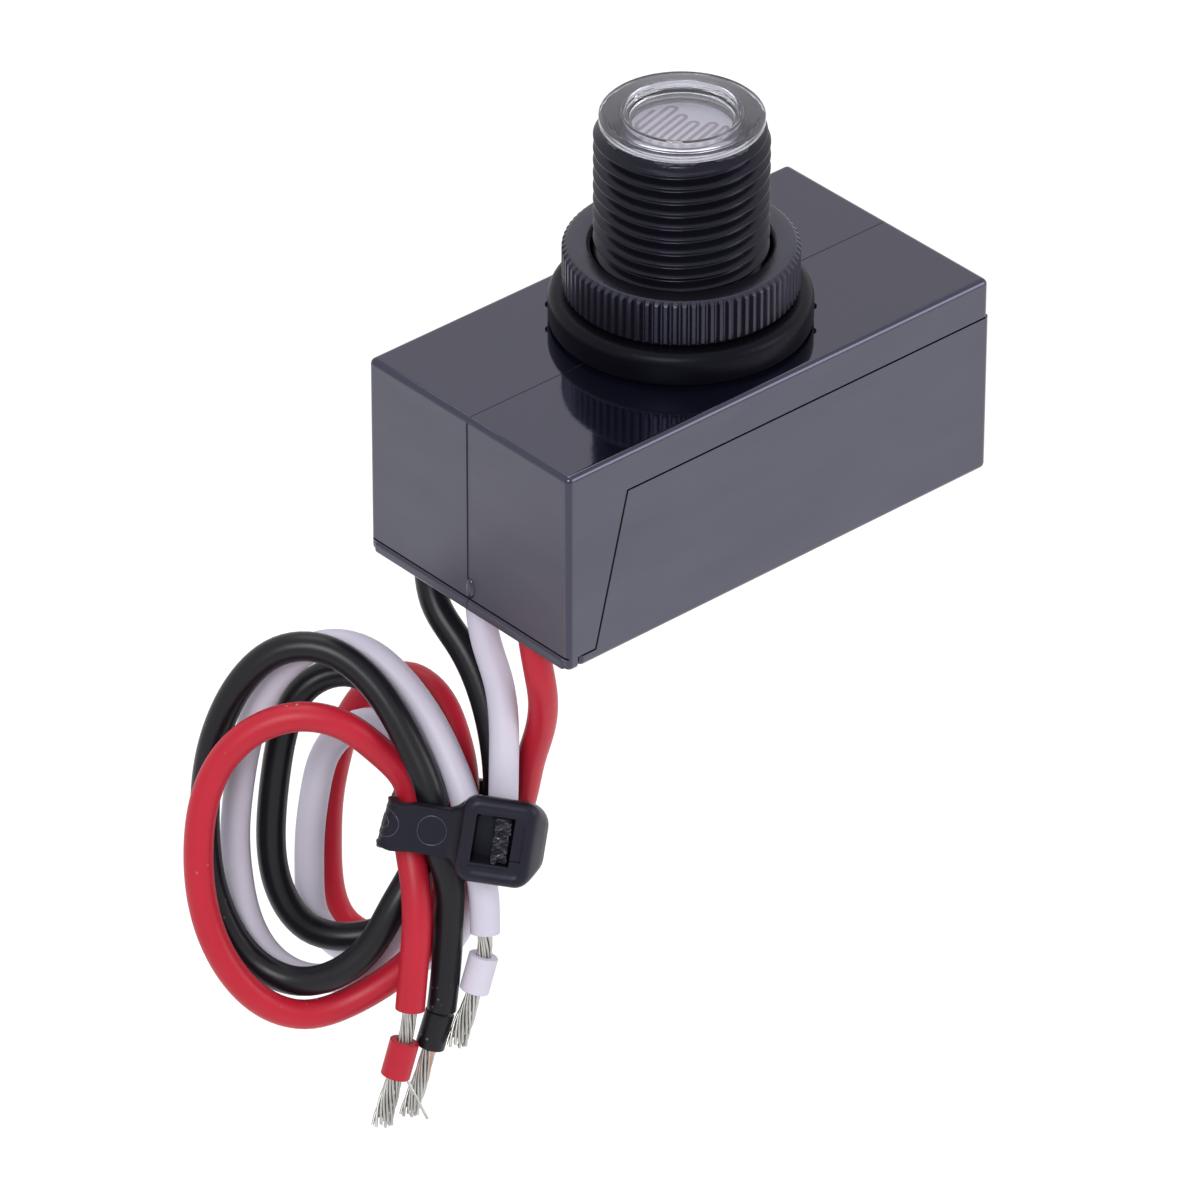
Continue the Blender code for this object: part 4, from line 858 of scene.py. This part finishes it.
def make_gasket(material):
    """Soft ring with a round shoulder, and a speck of flash on either side."""
    top, side = GASKET_TOP - GASKET_SHOULDER, GASKET_RADIUS - GASKET_SHOULDER
    profile = [(RING_BORE_RADIUS, GASKET_TOP), (side - 1.2 * MM, GASKET_TOP)]
    for a in [math.radians(90 - 9 * i) for i in range(11)]:
        profile.append((side + GASKET_SHOULDER * math.cos(a), top + GASKET_SHOULDER * math.sin(a)))
    foot = [(0.0, 0.3 * MM), (0.1 * MM, 0.08 * MM), (0.3 * MM, 0.0)]
    profile += [(GASKET_RADIUS - inset, GASKET_LOW + up) for inset, up in foot]
    profile.append((RING_BORE_RADIUS, GASKET_LOW))
    gasket = turned("sealing_gasket_fine", profile, closed=True)
    bm = bmesh.new()
    bm.from_mesh(gasket.data)
    for side_turn in (LOOP_TURN, LOOP_TURN + math.pi):
        made = bmesh.ops.create_icosphere(bm, subdivisions=2, radius=0.3 * MM)["verts"]
        bmesh.ops.scale(bm, vec=(1.0, 0.4, 1.3), verts=made)
        bmesh.ops.translate(bm, vec=(GASKET_RADIUS - 0.02 * MM, 0.0, 1.5 * MM), verts=made)
        turn = Matrix.Rotation(side_turn, 3, "Z")
        bmesh.ops.rotate(bm, matrix=turn, verts=made)
    bm.to_mesh(gasket.data)
    bm.free()
    shade(gasket, 40)
    dress(gasket, material, "sealing_gasket")


def make_lock_nut(material):
    """Ribbed ring: the ribs' outline is cut back by the rounded rims."""
    columns = NUT_RIBS * RIB_STEPS
    low_rim = 0.6 * MM
    rows = [(RING_BORE_RADIUS, NUT_LOW, False), (NUT_RADIUS - 0.4 * MM, NUT_LOW, False)]
    rows += [(NUT_RADIUS - back * low_rim, NUT_LOW + up * low_rim, True) for up, back in NUT_RIM]
    rows.append((NUT_RADIUS, (NUT_LOW + NUT_TOP) / 2, True))
    rows += [(NUT_RADIUS - back * MM, NUT_TOP - up * MM, True) for up, back in reversed(NUT_RIM)]
    rows += [
        (NUT_RADIUS - 0.6 * MM, NUT_TOP, False),
        (RING_BORE_RADIUS + 0.45 * MM, NUT_TOP, False),
        (RING_BORE_RADIUS + 0.3 * MM, NUT_TOP - 0.06 * MM, False),
        (RING_BORE_RADIUS, NUT_TOP - 0.42 * MM, False),
    ]

    def point(i, j):
        radius, height, ribbed = rows[i]
        wave = 0.5 - 0.5 * math.cos(2 * math.pi * (j % RIB_STEPS) / RIB_STEPS)
        groove = min(1.0, max(0.0, 1.7 * wave - 0.45))
        if ribbed:
            radius = min(radius, NUT_RADIUS - RIB_DEPTH * groove)
        angle = 2 * math.pi * j / columns
        return (radius * math.cos(angle), radius * math.sin(angle), height)

    nut = mesh_object("ribbed_ring_nut", ring_grid(len(rows), columns, point))
    shade_moulding(nut, 35)
    dress(nut, material, "lock_nut")


def make_cap(material):
    profile = [(radius * MM, height * MM) for radius, height in CAP_SECTION]
    cap = turned("clear_cap", profile, steps=160)
    shade(cap, 28)
    dress(cap, material, "lens_cap")


def make_glue_bead(glue):
    """Bead of glue squeezed out under the cap, with a ragged lower edge."""
    columns = 320
    section = [(0.0, 0.0), (0.0, 1.0), (0.35, 1.0), (0.42, 0.5), (0.2, 0.0)]
    waves = [(7, 1.0, 0.0), (17, 0.7, 1.0), (41, 0.5, 2.0), (83, 0.35, 0.0)]

    def point(i, j):
        out, up = section[i]
        angle = 2 * math.pi * j / columns
        ragged = sum(size * math.sin(count * angle + start) for count, size, start in waves)
        depth = (0.44 + 0.17 * ragged) * MM
        radius = ROOT_RADIUS - 0.2 * MM + out * MM * (1.0 + 0.22 * ragged)
        height = CAP_UNDERSIDE - 0.02 * MM - depth * (1.0 - up)
        return (radius * math.cos(angle), radius * math.sin(angle), height)

    bead = mesh_object("glue_bead", ring_grid(len(section), columns, point))
    shade(bead, 60)
    dress(bead, glue)


def make_cell(face, lead_metal):
    edge, slight = 0.18 * MM, 0.05 * MM
    profile = [
        (0.0, CELL_TOP), (CELL_RADIUS - edge, CELL_TOP), (CELL_RADIUS - slight, CELL_TOP - slight),
        (CELL_RADIUS, CELL_TOP - edge), (CELL_RADIUS, CELL_LOW + edge),
        (CELL_RADIUS - edge, CELL_LOW), (0.0, CELL_LOW),
    ]
    cell = turned("light_cell", profile)
    shade(cell, 40)
    dress(cell, face, "photocell_disc")
    for side in ("left", "right"):
        NODES[f"cell_lead_{side}"].data.materials[0] = lead_metal


def track_path():
    """The track's winding line, in millimetres, as (along, across) with a round turn at each end."""
    reach = CELL_RADIUS / MM - 0.55
    bend = 0.45
    legs = []
    for number, across in enumerate(TRACK_LEGS):
        half_chord = math.sqrt(max(0.3, reach**2 - across**2))
        high = half_chord - 0.2
        if number:
            high = min(high, TRACK_TOPS[(number - 1) // 2])
        legs.append((0.3 - half_chord + bend, high - bend, across))
    low, high, across = legs[0]
    path = [(high, across), (low, across)]
    for number, (low, high, across) in enumerate(legs[1:]):
        start, before = path[-1]
        at_low_end = number % 2 == 0
        target, other = (low, high) if at_low_end else (high, low)
        middle, half = (before + across) / 2, abs(before - across) / 2
        bow = -half if at_low_end else half
        for k in range(1, 12):
            a = math.pi * k / 12
            along = start * (1 - k / 12) + target * k / 12 + bow * math.sin(a)
            path.append((along, middle + (before - middle) * math.cos(a)))
        path += [(target, across), (other, across)]
    return path


def make_track(material):
    """The light cell's track, a thin ribbon on its face."""
    path = track_path()
    turn = Matrix.Rotation(TRACK_TURN, 3, "Z")
    half = TRACK_WIDTH / 2
    rings = []
    for i, spot in enumerate(path):
        here = Vector(spot) * MM
        ahead = Vector(path[min(i + 1, len(path) - 1)]) - Vector(path[max(i - 1, 0)])
        side = Vector((-ahead.y, ahead.x)).normalized() * half
        rings.append([
            turn @ Vector((*(here + side * sign), CELL_TOP + lift * MM))
            for sign, lift in ((1, 0.012), (-1, 0.012), (-1, -0.01), (1, -0.01))
        ])
    bm = bmesh.new()
    add_stack(bm, rings)
    dress(mesh_object("cell_track", bm), material)


def rounded_outline(inset, flare=0.0, drop=0.0):
    """The tie head's outline, drawn in by an inset and widened to the right, in millimetres."""
    low = (HEAD_LOW[0] + inset, HEAD_LOW[1] + inset + 0.35 * flare)
    high = (HEAD_HIGH[0] - inset + flare, HEAD_HIGH[1] - inset - 0.6 * flare - drop)
    tight = max(0.35, HEAD_CORNER - 0.75 * inset)
    wide = tight + 0.8 * flare
    corners = [
        (high[0] - wide, high[1] - wide, 0, wide), (low[0] + tight, high[1] - tight, 90, tight),
        (low[0] + tight, low[1] + tight, 180, tight), (high[0] - wide, low[1] + wide, 270, wide),
    ]
    outline = []
    for x, y, start, radius in corners:
        for a in [math.radians(start + 90 * i / 8) for i in range(9)]:
            outline.append((x + radius * math.cos(a), y + radius * math.sin(a)))
    return outline


def strap_line():
    """Closed line of the strap's inner face with its outward directions, in millimetres."""
    curve = bpy.data.curves.new("strap_line", "CURVE")
    curve.dimensions = "2D"
    curve.resolution_u = 14
    spline = curve.splines.new("BEZIER")
    spline.bezier_points.add(len(TIE_INNER_LINE) - 1)
    spline.use_cyclic_u = True
    for knot, (x, out) in zip(spline.bezier_points, TIE_INNER_LINE):
        knot.co = (x, out, 0.0)
        knot.handle_left_type = knot.handle_right_type = "AUTO"
    holder = new_object("strap_line", curve)
    points = [vert.co.copy() for vert in evaluated_mesh(holder).vertices]
    bpy.data.objects.remove(holder)
    middle = sum(points, Vector()) / len(points)
    line = []
    for i, here in enumerate(points):
        along = points[(i + 1) % len(points)] - points[i - 1]
        out = Vector((along.y, -along.x, 0.0)).normalized()
        if out.dot(here - middle) < 0:
            out = -out
        line.append((here, out))
    return line


def tie_spot(x, height, out):
    return TIE_PLACE @ (Vector((x, height, out)) * MM)


def strap_spot(here, out, thickness, height):
    """A place on the strap, which leans at its left end."""
    spot = here + out * thickness
    lean = min(1.0, max(0.0, (-5.2 - here.x) / 1.2))
    return tie_spot(spot.x + 0.11 * height * lean, height - 0.35 * lean, spot.y)


def strap_mesh(line):
    """The strap, lower behind the leads than in front, with teeth on its back."""
    lengths = [0.0]
    for (a, _), (b, _) in zip(line, line[1:]):
        lengths.append(lengths[-1] + (b - a).length)

    def point(i, j):
        here, out = line[i]
        thickness, height = TIE_SECTION[j]
        height -= STRAP_BACK_DROP * min(1.0, max(0.0, (4.2 - here.y) / 3.0))
        toothed = here.y < 1.5 and here.x < 0.0 or here.y < -4.0
        outer = thickness > 0.95 and abs(height) < 2.3
        if toothed and outer and lengths[i] % TOOTH_PITCH < TOOTH_GAP:
            thickness -= TOOTH_DEPTH
        return strap_spot(here, out, thickness, height)

    return ring_grid(len(line), len(TIE_SECTION), point)


def neck_section(x, low, high, inner, outer):
    """Section of the neck that widens from the strap to the head."""
    corner = min(0.45, (outer - inner) / 2.2)
    slight = 0.3 * corner
    section = [
        (low, inner), (high, inner), (high, outer - corner), (high - slight, outer - slight),
        (high - corner, outer), (low + corner, outer), (low + slight, outer - slight),
        (low, outer - corner),
    ]
    return [tie_spot(x, height, out) for height, out in section]


def make_tie(material, rough_material):
    head_mesh = bmesh.new()
    add_stack(head_mesh, [
        [tie_spot(x, y, out) for x, y in rounded_outline(inset, flare)]
        for inset, out, flare in HEAD_ROWS
    ])
    head = mesh_object("head", head_mesh)
    for low, high in HEAD_CUTS:
        cutter = box("cutter", [v * MM for v in low], [v * MM for v in high])
        cutter.data.transform(TIE_PLACE)
        combine(head, cutter, "DIFFERENCE")

    line = strap_line()
    bm = strap_mesh(line)
    add_stack(bm, [
        [
            tie_spot(max(x, HEAD_BACK_LEFT), y, out)
            for x, y in rounded_outline(inset, flare, 0.32 * (7.5 - out))
        ]
        for inset, out, flare in HEAD_BACK_ROWS
    ])
    add_stack(bm, [neck_section(*station) for station in NECK_STATIONS])
    bm.from_mesh(head.data)
    bpy.data.objects.remove(head)
    tie = mesh_object("nylon_tie", bm)
    shade(tie, 35)
    dress(tie, material, "cable_tie")
    return tie, make_tie_marks(line, rough_material), make_tie_tail(rough_material)


def make_tie_marks(line, material):
    """Raised rings on the strap's front, laid along its curve."""
    front = [i for i, (_, out) in enumerate(line) if out.y > 0.2]
    first = min(front, key=lambda i: abs(line[i][0].x + 3.0))
    step = 1 if line[(first + 1) % len(line)][0].x < line[first][0].x else -1
    rings = []
    for start, radius in TIE_MARKS:
        ring = []
        for k in range(49):
            a = 2 * math.pi * k / 48
            want = start + radius * math.cos(a)
            index = before = first
            length, left = 1.0, abs(want)
            direction = step if want >= 0 else -step
            while left > 0.0:
                before, index = index, (index + direction) % len(line)
                length = (line[index][0] - line[before][0]).length * 1.06
                left -= length
            share = -left / length
            here = line[index][0].lerp(line[before][0], share)
            out = line[index][1].lerp(line[before][1], share)
            ring.append(strap_spot(here, out, 1.0, 0.1 + radius * math.sin(a)))
        rings.append(ring)
    marks = tube_mesh("tie_marks", rings, TIE_MARK_WIDTH, 1)
    return dress(marks, material)


def make_tie_tail(material):
    """The strap's cut end in the slot, rough where it was torn off."""
    across, along = 13, 44
    left, low = TAIL_LOW
    width, height = TAIL_SIZE
    bm = bmesh.new()
    grid = []
    for i in range(along + 1):
        row = []
        for j in range(across + 1):
            x = left + width * j / across
            y = low + height * i / along
            rough = math.sin(3.4 * x + 2.3 * y) + math.sin(5.6 * x - 3.6 * y + 1.0)
            rough += math.sin(6.4 * y + 2.0 * x) + 0.3 * math.sin(23.0 * y - 13.0 * x)
            inside = min(i, along - i, j, across - j) > 0
            out = TAIL_FACE + 0.19 * rough if inside else TAIL_FOOT
            row.append(bm.verts.new(tie_spot(x + 0.03 * rough, y, out)))
        grid.append(row)
    for i in range(along):
        for j in range(across):
            bm.faces.new((grid[i][j], grid[i][j + 1], grid[i + 1][j + 1], grid[i + 1][j]))
    rim = grid[0] + [row[-1] for row in grid[1:-1]]
    rim += grid[-1][::-1] + [row[0] for row in grid[-2:0:-1]]
    bm.faces.new(rim)
    return dress(mesh_object("tie_cut_tail", bm), material)


def seen_directly(tree):
    """One where the camera, a mirror or clear plastic looks, and nought where light falls."""
    path = tree.nodes.new("ShaderNodeLightPath")
    seen = path.outputs["Is Camera Ray"]
    for ray in ("Is Glossy Ray", "Is Transmission Ray"):
        either = tree.nodes.new("ShaderNodeMath")
        either.operation = "MAXIMUM"
        tree.links.new(seen, either.inputs[0])
        tree.links.new(path.outputs[ray], either.inputs[1])
        seen = either.outputs[0]
    return seen


def make_world():
    """Even white surroundings, dimmer where they only light the object."""
    world = bpy.data.worlds.new("studio")
    world.use_nodes = True
    bpy.context.scene.world = world
    tree = world.node_tree
    tree.nodes.clear()
    mix = tree.nodes.new("ShaderNodeMixShader")
    tree.links.new(seen_directly(tree), mix.inputs["Fac"])
    for socket, strength in ((mix.inputs[1], AMBIENT_LEVEL), (mix.inputs[2], 1.0)):
        background = tree.nodes.new("ShaderNodeBackground")
        background.inputs["Color"].default_value = (*WHITE, 1.0)
        background.inputs["Strength"].default_value = strength
        tree.links.new(background.outputs[0], socket)
    output = tree.nodes.new("ShaderNodeOutputWorld")
    tree.links.new(mix.outputs[0], output.inputs["Surface"])


def make_lamps():
    for name, place, size, power in LAMPS:
        data = bpy.data.lights.new(name, "AREA")
        data.shape = "SQUARE"
        data.size = size
        data.energy = power
        lamp = new_object(name, data)
        lamp.location = place
        lamp.rotation_euler = (LAMP_TARGET - Vector(place)).to_track_quat("-Z", "Y").to_euler()


def make_floor():
    """Pale floor well under the hanging leads, white where the camera or a mirror sees it."""
    bm = bmesh.new()
    bmesh.ops.create_grid(bm, x_segments=2, y_segments=2, size=1.5)
    floor = mesh_object("floor", bm)
    floor.location = (0.0, 0.0, FLOOR_HEIGHT)
    material = bpy.data.materials.new("floor")
    material.use_nodes = True
    tree = material.node_tree
    shader = tree.nodes["Principled BSDF"]
    shader.inputs["Base Color"].default_value = (0.85, 0.85, 0.85, 1.0)
    shader.inputs["Roughness"].default_value = 0.9
    lift = tree.nodes.new("ShaderNodeMath")
    lift.operation = "MULTIPLY"
    lift.inputs[1].default_value = FLOOR_LIFT
    tree.links.new(seen_directly(tree), lift.inputs[0])
    glow = tree.nodes.new("ShaderNodeEmission")
    glow.inputs["Color"].default_value = (*WHITE, 1.0)
    tree.links.new(lift.outputs[0], glow.inputs["Strength"])
    both = tree.nodes.new("ShaderNodeAddShader")
    tree.links.new(shader.outputs[0], both.inputs[0])
    tree.links.new(glow.outputs[0], both.inputs[1])
    tree.links.new(both.outputs[0], tree.nodes["Material Output"].inputs["Surface"])
    floor.data.materials.append(material)


bpy.context.scene.view_settings.view_transform = "Standard"
make_camera()
tinned = metal("tinned_strands", (0.5, 0.49, 0.47), 0.28)
copper = metal("copper_strand", (0.62, 0.3, 0.2), 0.3)
lead_materials = {
    "black": insulation(
        "black_pvc", (0.008, 0.008, 0.012), (0.005, 0.005, 0.008), 0.27, 0.38, 0.35, 0.27
    ),
    "white": insulation(
        "white_pvc", (0.7, 0.67, 0.79), (0.65, 0.61, 0.74), 0.38, 0.5, 0.0, 0.35
    ),
    "red": insulation(
        "red_pvc", (0.56, 0.014, 0.036), (0.48, 0.011, 0.03), 0.36, 0.48, 0.9, 0.35
    ),
}
nylon = moulded_plastic("black_nylon", (0.009, 0.009, 0.013), 0.32, 0.44, 0.28)
cut_nylon = moulded_plastic("cut_nylon", (0.03, 0.03, 0.036), 0.1, 0.22, 0.8)
tie_pieces = make_tie(nylon, cut_nylon)
make_leads(lead_materials, tinned, copper, tie_pieces)

shell = shell_plastic()
dark_plastic = moulded_plastic("dark_plastic", (0.005, 0.005, 0.008), 0.16, 0.24, 0.3)
nut_plastic = moulded_plastic(
    "nut_plastic", (0.006, 0.006, 0.009), 0.28, 0.38, 0.66, 0.00002, 2600.0
)
rubber = moulded_plastic("soft_rubber", (0.003, 0.003, 0.005), 0.3, 0.42, 0.12, 0.00002, 1800.0)
make_body(shell)
make_cover(shell)
make_stem(dark_plastic)
make_gasket(rubber)
make_lock_nut(nut_plastic)
# The cap's grey rim tint is painted shade.
make_cap(clear_plastic("clear_plastic", (0.8, 0.8, 0.86), 0.03, 0.95, (0.5, 0.5, 0.58)))
make_glue_bead(clear_plastic("clear_glue", (0.2, 0.2, 0.24), 0.14, 0.85))
make_cell(cell_face(), tinned)
make_track(cell_track())
dress_inner_parts()

make_world()
make_lamps()
make_floor()
